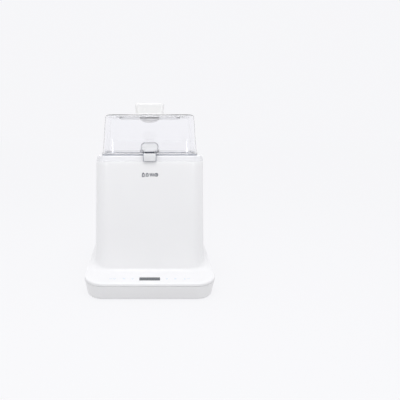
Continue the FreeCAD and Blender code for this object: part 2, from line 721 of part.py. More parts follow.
def make_heating_plate():
    """Dished steel plate on a seal ring in the tub's floor."""
    body = new_body("plate_dish")
    under = "dish_bottom"
    profile = polygon_outline(body, "XZ_Plane", (
        ("0", under), ("plate_radius - 5", under),
        ("plate_radius + 0.6", "tub_floor + seal_height"),
        ("plate_radius + plate_rim", "tub_floor + seal_height"),
        ("plate_radius + plate_rim", "tub_floor + seal_height + plate_thickness"),
        ("plate_radius - 0.3", "tub_floor + seal_height + plate_thickness"),
        ("plate_radius - 5.8", under + " + plate_thickness"), ("0", under + " + plate_thickness")))
    revolve(body, profile)
    keep("heating_plate", place(body, y="tower_y"))
    ring = cylinder("seal_disc", "plate_radius + plate_rim", "seal_height", "0", "tower_y", "tub_floor")
    bore = cylinder("seal_bore", "plate_radius + 2.2", "seal_height + 2", "0", "tower_y", "tub_floor - 1")
    keep("plate_seal", cut("seal_ring", ring, bore))


def make_heater():
    """Tubular ring element under the plate, its strut and screws, and the two safety devices."""
    ring = doc.addObject("Part::Torus", "element_ring")
    bind(ring, Radius1="element_radius", Radius2="element_thickness")
    place(ring, "0", "tower_y", "dish_bottom - element_thickness")
    ends = []
    for side in (-1, 1):
        ends.append(cylinder("element_end", "element_thickness * 0.6", "14", f"{side} * 8",
                             "tower_y - element_radius", "dish_bottom - element_thickness - 14"))
    keep("heating_element", fuse("element_body", ring, *ends))
    bar = box("strut_bar", "2 * plate_radius + 38", "14", "1.6", "0", "tower_y", "strut_z - 1.6")
    ways = [cylinder("strut_hole", "1.8", "4", f"{side} * (plate_radius + 13)", "tower_y",
                     "strut_z - 3") for side in (-1, 1)]
    keep("element_strut", cut("strut_plate", bar, *ways))
    heads = [cylinder("strut_screw", "3", "2", f"{side} * (plate_radius + 13)", "tower_y",
                      "strut_z - 3.6") for side in (-1, 1)]
    keep("strut_screws", fuse("strut_screw_group", *heads))
    keep("thermostat", cylinder("thermostat_can", "8.5", "5.5", "0", "tower_y", "dish_bottom - 5.5"))
    keep("thermal_fuse", axle("fuse_can", "2", "14", "0", "tower_y + 18", "dish_bottom - 2"))


# ---------------------------------------------------------------- tray and rack

def make_tray():
    """Upper tray for teats and rings: it hangs by its flange on the ledge in the collar."""
    low = "tray_top - tray_depth"
    outer = tapered_prism("tray_outer", "tray_width - 6", "tray_length - 6", "tub_corner - 4", low,
                          "tray_depth", "3", widen=True)
    round_edges(outer, "4", lambda edge: level(edge, value("tray_top - tray_depth")))
    flange = upright_prism("tray_flange", "opening_width - 2 * fit - 0.4",
                           "opening_depth - 2 * fit - 0.4", "collar_corner - fit", "tray_top - 2", "2",
                           y="tower_y")
    inner = tapered_prism("tray_inner", "tray_width - 6 - 2 * tray_wall",
                          "tray_length - 6 - 2 * tray_wall", "tub_corner - 4 - tray_wall",
                          low + " + tray_wall", "tray_depth", "3", widen=True)
    slots = []
    for step in range(-5, 6):
        slots.append(upright_prism("tray_slot", "6", "tray_length - 38", "2.9",
                                   "tray_top - tray_depth - 1", "tray_wall + 2",
                                   x=f"{step} * (tray_width - 30) / 11", y="tower_y"))
    grips = axle("tray_grip", "8", "tray_width + 10", "0", "tower_y", "tray_top - 15")
    keep("upper_tray", cut("tray_bored", fuse("tray_body", outer, flange), inner, grips, *slots))


def make_rack():
    """Bottle rack: slotted deck on short legs, six tapered posts and a middle grip."""
    deck = upright_prism("rack_plate", "rack_width", "rack_depth", "tub_corner - 4", "rack_deck", "3",
                         y="tower_y")
    pieces = []
    for column in (-1, 0, 1):
        for row in (-0.5, 0.5):
            post = doc.addObject("Part::Cone", "post")
            bind(post, Radius1="post_radius", Radius2="post_radius * 0.7", Height="post_height")
            place(post, f"{column} * post_pitch_x", f"tower_y + {row} * post_pitch_y", "rack_deck + 2")
            tip = doc.addObject("Part::Sphere", "post_tip")
            bind(tip, Radius="post_radius * 0.7")
            place(tip, f"{column} * post_pitch_x", f"tower_y + {row} * post_pitch_y",
                  "rack_deck + 2 + post_height")
            pieces += [post, tip]
    for side, end in CASE_SCREWS:
        pieces.append(cylinder("rack_leg", "4", "7", f"{side} * (rack_width / 2 - 9)",
                               f"tower_y + {end} * (rack_depth / 2 - 9)", "rack_foot"))
    pieces.append(box("rack_stem", "12", "5", "rack_top - 6 - rack_deck", "0", "tower_y",
                      "rack_deck"))
    bar = upright_prism("rack_grip", "44", "13", "6.4", "rack_top - 8", "8", y="tower_y")
    slots = []
    for column in (-1.28, -0.75, -0.5, -0.25, 0.25, 0.5, 0.75, 1.28):
        slots.append(upright_prism("rack_slot", "7", "rack_depth - 26", "3.4", "rack_deck - 1", "5",
                                   x=f"{column} * post_pitch_x", y="tower_y"))
    slotted = cut("rack_grid", deck, *slots)
    keep("bottle_rack", fuse("rack_body", slotted, bar, *pieces))


# ---------------------------------------------------------------- lid and handle

def lid_form(name, inset, low, height):
    """Solid form of the lid, inset by its wall, with walls that lean in and a rounded top."""
    lean = "lid_taper / lid_height"
    body = tapered_prism(name, f"lid_width - 2 * ({inset})", f"lid_depth - 2 * ({inset})",
                         f"lid_corner - ({inset})", low, height, f"({height}) * {lean}")
    top = value(f"({low}) + ({height})")
    round_edges(body, f"lid_edge - ({inset})", lambda edge: level(edge, top))
    return body


def make_lid():
    """Clear lid: leaning walls, flange, recess for the handle plate, latch lug and hinge leaf."""
    outer = lid_form("lid_outer", "0", "lid_low", "lid_height")
    inner = lid_form("lid_inner", "lid_wall", "lid_low", "lid_height - lid_wall")
    flange = upright_prism("lid_flange", "lid_width + 2 * flange_width", "lid_depth + 2 * flange_width",
                           "lid_corner + flange_width", "lid_low", "flange_thickness", y="tower_y")
    shell = cut("lid_shell_form", fuse("lid_walls", outer, flange), inner)
    well = upright_prism("lid_well", "recess_width + 2 * lid_wall", "recess_depth + 2 * lid_wall",
                         "recess_corner + lid_wall", "recess_under", "recess_sink", y="tower_y")
    recess = upright_prism("lid_recess", "recess_width", "recess_depth", "recess_corner",
                           "recess_floor", "recess_sink + 1", y="tower_y")
    lug = axle("lid_lug", "barrel_radius", "lug_width", "0", "latch_y", "latch_z")
    lug_arm = box("lug_arm", "lug_width", "lid_front_gap", "5", "0",
                  "latch_y + (lid_front_gap) / 2", "latch_z - 2")
    leaf = box("hinge_leaf", "hinge_middle", "hinge_y - (tower_y + lid_depth / 2 - 1)",
               "flange_thickness", "0", "(hinge_y + tower_y + lid_depth / 2 - 1) / 2", "lid_low")
    knuckle = axle("lid_knuckle", "hinge_radius", "hinge_middle", "0", "hinge_y", "hinge_z")
    solid = fuse("lid_body", shell, well, lug, lug_arm, leaf, knuckle)
    holes = [recess,
             axle("lug_bore", "latch_pin_radius + running_fit", "lug_width + 2", "0", "latch_y", "latch_z"),
             axle("knuckle_bore", "hinge_pin_radius + running_fit", "hinge_middle + 2", "0", "hinge_y",
                  "hinge_z")]
    for side in (-1, 1):
        holes.append(cylinder("lid_screw_way", "handle_screw_radius + 0.3", "lid_wall + 4",
                              f"{side} * handle_screw_pitch / 2", "tower_y", "recess_under - 2"))
    keep("lid_shell", cut("lid_bored", solid, *holes))
    ring = upright_prism("gasket_outer", "lid_width + 2 * flange_width - 2",
                         "lid_depth + 2 * flange_width - 2", "lid_corner + flange_width - 1",
                         "collar_top + fit", "gasket_height", y="tower_y")
    bore = upright_prism("gasket_bore", "lid_width - 2 * lid_wall", "lid_depth - 2 * lid_wall",
                         "lid_corner - lid_wall", "collar_top - 1", "gasket_height + 2", y="tower_y")
    keep("lid_gasket", cut("gasket_ring", ring, bore))


def make_handle():
    """Crowned plate let into the lid, handle on it, clear cap and two screws from below."""
    prism = upright_prism("plate_blank", "recess_width - 2 * fit", "recess_depth - 2 * fit",
                          "recess_corner - fit", "recess_floor", "plate_crown + 2", y="tower_y")
    ball = doc.addObject("Part::Sphere", "plate_ball")
    bind(ball, Radius="dome_radius")
    place(ball, "0", "tower_y", "plate_top - dome_radius")
    crown = common("plate_crowned", prism, ball)
    seat = tapered_prism("plate_seat", "grip_width + 2 * seat_gap", "grip_depth + 2 * seat_gap",
                         "grip_corner + seat_gap", "grip_seat", "8", "8 * grip_flare / grip_height",
                         widen=True)
    ways = [cylinder("plate_way", "handle_screw_radius + 0.3", "plate_crown + 4",
                     f"{side} * handle_screw_pitch / 2", "tower_y", "recess_floor - 2")
            for side in (-1, 1)]
    keep("handle_plate", cut("plate_bored", crown, seat, *ways))
    top = "grip_seat + grip_height"
    form = tapered_prism("grip_form", "grip_width", "grip_depth", "grip_corner", "grip_seat",
                         "grip_height", "grip_flare", widen=True)
    round_edges(form, "4.5", lambda edge: level(edge, value(top)))
    bores = [cylinder("grip_bore", "handle_screw_radius", "14", f"{side} * handle_screw_pitch / 2",
                      "tower_y", "grip_seat - 1") for side in (-1, 1)]
    keep("lid_handle", cut("grip_bored", form, *bores))
    screws = []
    for side in (-1, 1):
        x = f"{side} * handle_screw_pitch / 2"
        screws.append(cylinder("handle_screw_top", "handle_screw_radius * 1.8", "2.4", x, "tower_y",
                               "recess_under - 2.4"))
        screws.append(cylinder("handle_screw_shank", "handle_screw_radius - 0.02",
                               "grip_seat + 10 - recess_under", x, "tower_y", "recess_under - 0.2"))
    keep("handle_screws", fuse("handle_screw_group", *screws))
    cup = new_body("cup_form")
    pad(cup, circle_outline(cup, "cup_radius", y="tower_y", z="cup_low"), "cup_height")
    round_edges(cup, "4", lambda edge: level(edge, value("cup_low")))
    hollow = cylinder("cup_hollow", "cup_radius - 2", "cup_height", "0", "tower_y", "cup_low + 2")
    keep("screw_cap", cut("cup_shell", cup, hollow))


# ---------------------------------------------------------------- latch and hinge

def make_latch():
    """Clear rocker: a rimmed finger pad above its pin and a hook tab below, in front of the collar."""
    half_pad = "(pad_height / 2 - 0.05)"
    middle = "(pad_low + pad_height / 2)"
    blank = upright_prism("pad_blank", "pad_width", "pad_height", half_pad, "0", "pad_thickness")
    rim = upright_prism("pad_ridge", "pad_width", "pad_height", half_pad, "0", "pad_thickness + pad_rise")
    well = upright_prism("pad_well", "pad_width - 2 * pad_rim", "pad_height - 2 * pad_rim",
                         half_pad + " - pad_rim", "0 - 1", "pad_thickness + pad_rise + 2")
    pad_form = fuse("pad_form", blank, cut("pad_ring", rim, well))
    turn(pad_form, (1, 0, 0), "90")
    place(pad_form, "0", "pad_back_y", middle)
    arm = new_body("tab_form")
    front = "tab_back_y - tab_thickness"
    profile = polygon_outline(arm, "YZ_Plane", (
        ("pad_back_y", "pad_low + 1.5"), ("pad_back_y - pad_thickness", "pad_low + 1.5"),
        (front, "latch_z - 3.4"), (front, "tab_low"),
        ("tab_back_y + nose_depth", "tab_low"), ("tab_back_y + nose_depth", "tab_low + 1.6"),
        ("tab_back_y", "tab_low + 2.4"), ("tab_back_y", "latch_z - 5"),
        ("latch_y - 1", "latch_z - barrel_radius + 0.2"), ("latch_y + 1", "latch_z - barrel_radius + 0.4")))
    pad(arm, profile, "tab_width", symmetric=True)
    barrel = axle("latch_barrel", "barrel_radius", "latch_pin_length", "0", "latch_y", "latch_z")
    gap = box("lug_gap", "lug_width + 2 * fit", "2 * barrel_radius + 1.4", "2 * barrel_radius + 1.4", "0",
              "latch_y + 0.1", "latch_z - barrel_radius - 0.7")
    bore = axle("latch_bore", "latch_pin_radius", "latch_pin_length + 2", "0", "latch_y", "latch_z")
    keep("latch", cut("latch_bored", fuse("latch_body", pad_form, arm, barrel), gap, bore))
    keep("latch_pin", axle("latch_pin_rod", "latch_pin_radius - 0.01", "latch_pin_length", "0", "latch_y",
                           "latch_z"))


def make_hinge():
    """Hinge block screwed to the back of the housing, its pin and its screws."""
    plate = box("block_plate", "hinge_span", "hinge_y + hinge_radius - (block_y)",
                "hinge_z - (block_low)", "0", "(hinge_y + hinge_radius + block_y) / 2", "block_low")
    knuckles = axle("block_knuckles", "hinge_radius", "hinge_span", "0", "hinge_y", "hinge_z")
    gap = box("block_gap", "hinge_middle + 2 * fit", "30", "30", "0", "hinge_y",
              "hinge_z - hinge_radius - 1.5")
    bore = axle("block_bore", "hinge_pin_radius", "hinge_span + 2", "0", "hinge_y", "hinge_z")
    holes = []
    screws = []
    for side in (-1, 1):
        x = f"{side} * hinge_span / 3"
        way = cylinder("block_way", "1.8", "20")
        well = cylinder("block_well", "3.4", "5")
        head = cylinder("block_screw_top", "3", "1.9")
        shank = cylinder("block_screw_shank", "1.45", "9")
        for item in (way, well, head, shank):
            turn(item, (1, 0, 0), "90")
        place(way, x, "hinge_y + hinge_radius + 1", "block_low + 5")
        place(well, x, "hinge_y + hinge_radius + 3", "block_low + 5")
        place(head, x, "hinge_y + hinge_radius - 0.1", "block_low + 5")
        place(shank, x, "hinge_y + hinge_radius - 1.9", "block_low + 5")
        holes += [way, well]
        screws += [head, shank]
    keep("hinge_block", cut("block_bored", fuse("block_body", plate, knuckles), gap, bore, *holes))
    keep("hinge_pin", axle("hinge_rod", "hinge_pin_radius - 0.01", "hinge_span", "0", "hinge_y", "hinge_z"))
    keep("hinge_screws", fuse("hinge_screw_group", *screws))


# ---------------------------------------------------------------- blower, duct and filter

def make_blower():
    """Flat scroll blower with an open top eye, motor, shaft and bladed impeller."""
    scroll = cylinder("scroll", "fan_radius", "fan_height", "fan_x", "fan_y", "fan_low")
    mouth = box("scroll_mouth", "fan_radius + 12", "outlet_side", "fan_height",
                "fan_x + (fan_radius + 12) / 2", "outlet_y", "fan_low")
    room = cylinder("scroll_room", "fan_radius - thin_wall", "fan_height - 2 * thin_wall", "fan_x",
                    "fan_y", "fan_low + thin_wall")
    throat = box("scroll_throat", "fan_radius + 20", "outlet_side - 2 * thin_wall",
                 "fan_height - 2 * thin_wall", "fan_x + (fan_radius + 20) / 2", "outlet_y",
                 "fan_low + thin_wall")
    eye = cylinder("scroll_eye", "impeller_radius * 0.6", "6", "fan_x", "fan_y", "fan_top - 4")
    keep("fan_housing", cut("scroll_shell", fuse("scroll_form", scroll, mouth), room, throat, eye))
    can = cylinder("motor_can", "motor_radius", "9", "fan_x", "fan_y", "fan_low + thin_wall")
    bush = cylinder("motor_bush", "shaft_radius + running_fit", "12", "fan_x", "fan_y",
                    "fan_low + thin_wall + 1")
    keep("fan_motor", cut("motor_bored", can, bush))
    keep("fan_shaft", cylinder("shaft_rod", "shaft_radius", "14", "fan_x", "fan_y",
                               "fan_low + thin_wall + 1.5"))


def make_impeller():
    """Disc with a hub above it and a ring of blades below, patterned about its own axis."""
    wheel = new_body("impeller_wheel")
    pad(wheel, circle_outline(wheel, "impeller_radius"), "1.4")
    pad(wheel, circle_outline(wheel, "4"), "5")
    blade = rounded_outline(wheel, "7", "1.2", "0.5", x="impeller_radius - 4", z="0 - 7.6")
    first = pad(wheel, blade, "8")
    axis = [item for item in wheel.Origin.OriginFeatures if item.Role == "Z_Axis"][0]
    around = wheel.newObject("PartDesign::PolarPattern", "impeller_blades")
    around.Originals = [first]
    around.Axis = (axis, [""])
    around.Angle = 360
    bind(around, Occurrences="blade_count")
    wheel.Tip = around
    place(wheel, "fan_x", "fan_y", "fan_low + thin_wall + 10")
    bore = cylinder("hub_bore", "shaft_radius", "30", "fan_x", "fan_y", "fan_low")
    keep("fan_impeller", cut("impeller_bored", wheel, bore))


def make_duct():
    """Air heater at the blower's mouth, duct up the back of the tub and a grille into it."""
    frame = box("heater_frame", "24", "outlet_side", "fan_height", "heater_x", "outlet_y", "fan_low")
    room = box("heater_room", "30", "outlet_side - 2 * thin_wall", "fan_height - 2 * thin_wall",
               "heater_x", "outlet_y", "fan_low + thin_wall")
    fins = [box("heater_fin", "20", "outlet_side - 1", "0.8", "heater_x", "outlet_y",
                f"fan_low + {3.2 + 2.6 * step}") for step in range(7)]
    keep("air_heater", fuse("heater_body", cut("heater_shell", frame, room), *fins))
    low_depth = "(duct_y + duct_depth / 2 - (outlet_y - outlet_side / 2))"
    foot = box("duct_foot", "duct_width", low_depth, "fan_height", "duct_x",
               f"duct_y + duct_depth / 2 - {low_depth} / 2", "fan_low")
    riser = box("duct_riser", "duct_width", "duct_depth", "duct_high + 3 - fan_low", "duct_x", "duct_y",
                "fan_low")
    foot_room = box("duct_foot_room", "duct_width", "outlet_side - 2 * thin_wall",
                    "fan_height - 2 * thin_wall", "duct_x - thin_wall", "outlet_y", "fan_low + thin_wall")
    riser_room = box("duct_riser_room", "duct_width - 2 * thin_wall", "duct_depth - 2 * thin_wall",
                     "duct_high - fan_low - thin_wall", "duct_x", "duct_y", "fan_low + thin_wall")
    link = box("duct_link", "duct_width - 2 * thin_wall", "outlet_side", "fan_height - 2 * thin_wall",
               "duct_x", "duct_y - outlet_side / 2 + duct_depth / 2 - thin_wall", "fan_low + thin_wall")
    mouth = box("duct_mouth", "outlet_width", "duct_depth", "outlet_height", "duct_x",
                "duct_y - duct_depth / 2", "duct_high - outlet_height")
    keep("air_duct", cut("duct_shell", fuse("duct_form", foot, riser), foot_room, riser_room, link, mouth))
    grille_y = "tower_y + tub_depth / 2 + 0.6"
    panel = box("grille_panel", "outlet_width - 2 * fit", "2.2", "outlet_height - 2 * fit", "duct_x",
                grille_y, "duct_high - outlet_height + fit")
    slits = [box("grille_slit", "outlet_width - 6", "6", "1.6", "duct_x", grille_y,
                 f"duct_high - outlet_height + {2 + 3.2 * step}") for step in range(4)]
    keep("air_grille", cut("grille_plate", panel, *slits))


def make_filter():
    """Louvred cover in the pan's rear wall and the foam pad that it carries."""
    cover = box("cover_plate", "filter_width", "wall", "filter_height")
    on_rear_wall(cover, "filter_x - filter_width / 2", "filter_lift", "wall")
    slits = []
    for step in range(7):
        slit = box("cover_slit", "filter_width - 12", "8", "2")
        slits.append(on_rear_wall(slit, "filter_x - filter_width / 2 + 6",
                                  f"filter_lift + {3.5 + 3.5 * step}", "5"))
    keep("filter_cover", cut("cover_louvred", cover, *slits))
    foam = box("foam_block", "filter_width - 8", "5", "filter_height - 6")
    keep("filter_pad", on_rear_wall(foam, "filter_x - filter_width / 2 + 4", "filter_lift + 3",
                                    "wall + 5"))


# ---------------------------------------------------------------- electrics, display and keys

def make_inlet():
    """Three-pin mains inlet in the pan's rear wall."""
    block = box("inlet_block", "inlet_width", "22", "inlet_height", "inlet_x", "inlet_y - 9",
                "inlet_z - inlet_height / 2")
    socket = box("inlet_socket", "socket_width", "socket_depth", "socket_height", "inlet_x",
                 "inlet_y + 2 - socket_depth / 2", "inlet_z - socket_height / 2")
    blades = []
    for x, z in ((-7, -2), (0, 3), (7, -2)):
        blades.append(box("inlet_blade", "2", "socket_depth - 2", "4", f"inlet_x + {x}",
                          "inlet_y + 2 - socket_depth + (socket_depth - 2) / 2",
                          f"inlet_z + {z} - 2"))
    keep("mains_inlet", cut("inlet_shell", block, socket))
    keep("inlet_pins", fuse("inlet_blades", *blades))


def make_boards():
    """Power board on the pan, control board under the deck, display and touch-key pads."""
    board = box("power_panel", "66", "96", "1.6", "70", "20", "pan_floor + 6")
    keep("power_board", board)
    tall = [box("transformer", "26", "22", "20", "58", "52", "pan_floor + 7.6"),
            box("relay", "16", "20", "15", "88", "50", "pan_floor + 7.6"),
            cylinder("capacitor", "8", "22", "52", "20", "pan_floor + 7.6"),
            cylinder("capacitor", "6", "18", "74", "18", "pan_floor + 7.6"),
            box("heat_sink", "6", "40", "18", "96", "10", "pan_floor + 7.6"),
            box("connector", "30", "8", "10", "64", "0 - 18", "pan_floor + 7.6")]
    keep("power_components", fuse("component_group", *tall))
    control = box("control_panel", "170", "30", "1.6")
    keep("control_board", on_deck(control, "0 - 85", "key_from_edge - 14", "wall + 9.6"))
    window = box("window_plate", "window_width", "window_depth", "window_thickness")
    keep("display_window", on_deck(window, "0 - window_width / 2", "window_from_edge",
                                   "window_thickness + 0.1"))
    module = box("display_block", "window_width - 3", "window_depth - 2", "6")
    keep("display_module", on_deck(module, "1.5 - window_width / 2", "window_from_edge + 1",
                                   "window_thickness + 6.6"))
    pads = []
    for side in (-1, 1):
        for x in (34.5, 52, 71):
            spring = doc.addObject("Part::Cylinder", "key_pad")
            bind(spring, Radius="4", Height="7.4")
            pads.append(on_deck(spring, f"{side * x}", "key_from_edge", "wall + 7.8"))
    keep("key_pads", fuse("key_pad_group", *pads))


def make_all():
    make_housing()
    make_pan()
    make_feet_and_screws()
    make_collar()
    make_tub()
    make_heating_plate()
    make_heater()
    make_tray()
    make_rack()
    make_lid()
    make_handle()
    make_latch()
    make_hinge()
    make_blower()
    make_impeller()
    make_duct()
    make_filter()
    make_inlet()
    make_boards()


def check_and_write():
    """Stop on any failed object or bad shape, then write one file for each sub-part."""
    doc.recompute()
    failed = [item.Label for item in doc.Objects
              if "Invalid" in item.State or "Error" in item.State]
    if failed:
        raise RuntimeError("failed objects: " + ", ".join(failed))
    bad = [name for name, item in parts.items() if item.Shape.isNull() or not item.Shape.isValid()]
    if bad:
        raise RuntimeError("bad shapes: " + ", ".join(bad))
    os.makedirs("parts", exist_ok=True)
    for name, item in parts.items():
        item.Shape.exportStep(f"parts/{name}.step")
        size = item.Shape.BoundBox
        print(f"{name}: {len(item.Shape.Solids)} solids, {item.Shape.Volume / 1000:.1f} cm3, "
              f"x {size.XMin:.1f}..{size.XMax:.1f} y {size.YMin:.1f}..{size.YMax:.1f} "
              f"z {size.ZMin:.1f}..{size.ZMax:.1f}")


fill_sheet()
make_all()
check_and_write()
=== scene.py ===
import json
import math
import bmesh
import bpy
import numpy as np
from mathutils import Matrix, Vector


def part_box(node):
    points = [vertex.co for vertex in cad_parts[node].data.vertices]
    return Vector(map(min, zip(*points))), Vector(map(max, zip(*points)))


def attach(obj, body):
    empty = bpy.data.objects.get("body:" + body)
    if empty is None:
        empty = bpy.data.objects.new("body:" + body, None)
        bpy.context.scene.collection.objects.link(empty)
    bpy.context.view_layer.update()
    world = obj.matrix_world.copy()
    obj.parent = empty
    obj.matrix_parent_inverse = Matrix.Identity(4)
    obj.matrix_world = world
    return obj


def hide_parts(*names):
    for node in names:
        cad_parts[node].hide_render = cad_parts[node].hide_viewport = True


# A bottle steriliser and dryer: smooth moulded housing, clear lid, collar and latch, and every
# inner piece in its own finish. Metres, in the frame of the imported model.

MM = 0.001
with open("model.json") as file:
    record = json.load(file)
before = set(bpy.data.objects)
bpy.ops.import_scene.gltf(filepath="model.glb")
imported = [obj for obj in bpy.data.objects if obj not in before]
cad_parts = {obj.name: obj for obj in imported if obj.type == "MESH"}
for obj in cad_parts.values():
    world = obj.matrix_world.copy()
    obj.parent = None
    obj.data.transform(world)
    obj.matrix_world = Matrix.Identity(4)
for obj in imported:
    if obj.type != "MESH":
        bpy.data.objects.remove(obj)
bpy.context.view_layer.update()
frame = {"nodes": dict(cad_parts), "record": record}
nodes = frame["nodes"]

SMOOTH_ANGLE = math.radians(28)
FLAT_ANGLE = math.radians(0.3)
MERGE_DISTANCE = 0.002 * MM


# ---------------------------------------------------------------- node groups

def new_group(name, inputs, outputs):
    """An empty shader group with named input and output sockets and its two end nodes."""
    group = bpy.data.node_groups.new(name, "ShaderNodeTree")
    for label, kind, default in inputs:
        socket = group.interface.new_socket(name=label, in_out="INPUT", socket_type=kind)
        if default is not None:
            socket.default_value = default
    for label, kind in outputs:
        group.interface.new_socket(name=label, in_out="OUTPUT", socket_type=kind)
    start = group.nodes.new("NodeGroupInput")
    end = group.nodes.new("NodeGroupOutput")
    return group, start, end


def add(tree, kind, **settings):
    """A node with its settings; names of sockets are given as keys with spaces as underscores."""
    node = tree.nodes.new(kind)
    for key, setting in settings.items():
        label = key.replace("_", " ")
        if hasattr(node, key):
            setattr(node, key, setting)
        else:
            node.inputs[label].default_value = setting
    return node


def noise(tree, coordinates, scale, detail=3.0, roughness=0.5):
    node = add(tree, "ShaderNodeTexNoise", Detail=detail, Roughness=roughness)
    tree.links.new(coordinates, node.inputs["Vector"])
    if isinstance(scale, (int, float)):
        node.inputs["Scale"].default_value = scale
    else:
        tree.links.new(scale, node.inputs["Scale"])
    return node


def moulded_group():
    """Moulded plastic: a fine spark-eroded grain and slow drifts of gloss and of tone."""
    colour = "NodeSocketColor"
    number = "NodeSocketFloat"
    group, start, end = new_group(
        "moulded_surface",
        [("Colour", colour, None), ("Drift Colour", colour, None), ("Grain", number, 1500.0),
         ("Grain Depth", number, 0.1), ("Gloss Low", number, 0.2), ("Gloss High", number, 0.4)],
        [("Colour", colour), ("Roughness", number), ("Normal", "NodeSocketVector")])
    link = group.links.new
    place = group.nodes.new("ShaderNodeTexCoord").outputs["Object"]
    slow = noise(group, place, 14.0, 2.0)
    tone = add(group, "ShaderNodeMix", data_type="RGBA")
    link(slow.outputs["Fac"], tone.inputs["Factor"])
    link(start.outputs["Colour"], tone.inputs["A"])
    link(start.outputs["Drift Colour"], tone.inputs["B"])
    link(tone.outputs["Result"], end.inputs["Colour"])
    smear = noise(group, place, 60.0, 5.0, 0.65)
    gloss = add(group, "ShaderNodeMapRange")
    gloss.inputs["From Min"].default_value = 0.3
    gloss.inputs["From Max"].default_value = 0.7
    link(smear.outputs["Fac"], gloss.inputs["Value"])
    link(start.outputs["Gloss Low"], gloss.inputs["To Min"])
    link(start.outputs["Gloss High"], gloss.inputs["To Max"])
    link(gloss.outputs["Result"], end.inputs["Roughness"])
    fine = noise(group, place, start.outputs["Grain"], 2.0)
    bump = add(group, "ShaderNodeBump", Distance=0.0002)
    link(start.outputs["Grain Depth"], bump.inputs["Strength"])
    link(fine.outputs["Fac"], bump.inputs["Height"])
    link(bump.outputs["Normal"], end.inputs["Normal"])
    return group


MOULDED = moulded_group()


def shade(colour, share):
    """The colour darkened to a share of itself, with full alpha."""
    return (colour[0] * share, colour[1] * share, colour[2] * share, 1.0)


def moulded(name, colour, low, high, grain=1500.0, depth=0.1, drift=0.97, **sockets):
    """A material whose colour, gloss and grain come from the moulded surface group."""
    material = bpy.data.materials.new(name)
    material.use_nodes = True
    tree = material.node_tree
    shader = tree.nodes["Principled BSDF"]
    surface = tree.nodes.new("ShaderNodeGroup")
    surface.node_tree = MOULDED
    surface.inputs["Colour"].default_value = shade(colour, 1.0)
    surface.inputs["Drift Colour"].default_value = shade(colour, drift)
    surface.inputs["Grain"].default_value = grain
    surface.inputs["Grain Depth"].default_value = depth
    surface.inputs["Gloss Low"].default_value = low
    surface.inputs["Gloss High"].default_value = high
    tree.links.new(surface.outputs["Colour"], shader.inputs["Base Color"])
    tree.links.new(surface.outputs["Roughness"], shader.inputs["Roughness"])
    tree.links.new(surface.outputs["Normal"], shader.inputs["Normal"])
    for key, setting in sockets.items():
        shader.inputs[key.replace("_", " ")].default_value = setting
    return material


CLEAR = {"Transmission_Weight": 1.0, "IOR": 1.5}
MATERIALS = {
    "housing_white": moulded("housing_white", (0.87, 0.871, 0.876), 0.29, 0.34, 1400.0, 0.08,
                             Coat_Weight=0.15, Coat_Roughness=0.12),
    "pan_white": moulded("pan_white", (0.88, 0.88, 0.883), 0.34, 0.46, 1100.0, 0.16),
    "handle_white": moulded("handle_white", (0.81, 0.81, 0.805), 0.2, 0.3, 1600.0, 0.1,
                            Coat_Weight=0.2, Coat_Roughness=0.1),
    "clear_lid": moulded("clear_lid", (0.985, 0.985, 0.997), 0.01, 0.04, 60.0, 0.03, 0.995, **CLEAR),
    "clear_collar": moulded("clear_collar", (0.93, 0.932, 0.95), 0.05, 0.12, 80.0, 0.04,
                            Transmission_Weight=0.25, IOR=1.5, Coat_Weight=0.3),
    "latch_clear": moulded("latch_clear", (0.95, 0.955, 0.965), 0.05, 0.12, 80.0, 0.04,
                           Transmission_Weight=0.25, IOR=1.5),
    # painted shade: a darker copy of the latch's clear plastic for the grey outline its rim shows
    "latch_painted_edge_shade": moulded("latch_painted_edge_shade", (0.8, 0.81, 0.84), 0.12, 0.25, 300.0, 0.08,
                          Transmission_Weight=0.5, IOR=1.5),
    "cap_frost": moulded("cap_frost", (0.93, 0.92, 0.925), 0.3, 0.4, 300.0, 0.08),
    # painted shade: dark bluish colour for the shadow gap under the lid's flange and for the shaded edges of
    # the latch's clear arm
    "painted_shade_dark": moulded("painted_shade_dark", (0.16, 0.19, 0.26), 0.3, 0.45, 400.0, 0.1, 0.9),
    "print_blue": moulded("print_blue", (0.56, 0.68, 0.8), 0.4, 0.5, 900.0, 0.1),
    "print_slate": moulded("print_slate", (0.015, 0.025, 0.05), 0.35, 0.5, 900.0, 0.1, 0.9),
    "tub_white": moulded("tub_white", (0.86, 0.86, 0.88), 0.2, 0.32, 900.0, 0.1),
    "rack_white": moulded("rack_white", (0.88, 0.88, 0.88), 0.35, 0.5, 1200.0, 0.2),
    "steel": moulded("steel", (0.62, 0.62, 0.63), 0.22, 0.4, 500.0, 0.15, 0.85, Metallic=1.0),
    "dark_pin": moulded("dark_pin", (0.09, 0.095, 0.12), 0.25, 0.4, 500.0, 0.1, 0.8, Metallic=0.7),
    "silicone": moulded("silicone", (0.92, 0.92, 0.94), 0.4, 0.55, 400.0, 0.2),
    "foot_rubber": moulded("foot_rubber", (0.4, 0.4, 0.41), 0.6, 0.8, 700.0, 0.3, 0.85),
    "board_green": moulded("board_green", (0.04, 0.25, 0.1), 0.25, 0.4, 500.0, 0.1, 0.8),
    "black_plastic": moulded("black_plastic", (0.035, 0.035, 0.04), 0.35, 0.5, 1200.0, 0.25, 0.8),
    "smoked_window": moulded("smoked_window", (0.11, 0.12, 0.13), 0.12, 0.2, 500.0, 0.05, 0.92,
                             Coat_Weight=0.25, Coat_Roughness=0.08),
    "contact_brass": moulded("contact_brass", (0.78, 0.6, 0.3), 0.2, 0.35, 600.0, 0.15, 0.85,
                             Metallic=1.0),
    "heater_alloy": moulded("heater_alloy", (0.72, 0.73, 0.75), 0.3, 0.45, 700.0, 0.2, 0.88,
                            Metallic=1.0),
    "duct_plastic": moulded("duct_plastic", (0.5, 0.51, 0.53), 0.4, 0.55, 900.0, 0.2, 0.92),
    "filter_foam": moulded("filter_foam", (0.06, 0.06, 0.065), 0.8, 0.95, 260.0, 1.0, 0.6),
}


# ---------------------------------------------------------------- meshes from grids

ARC_POINTS = 12
SIDE_POINTS = 14


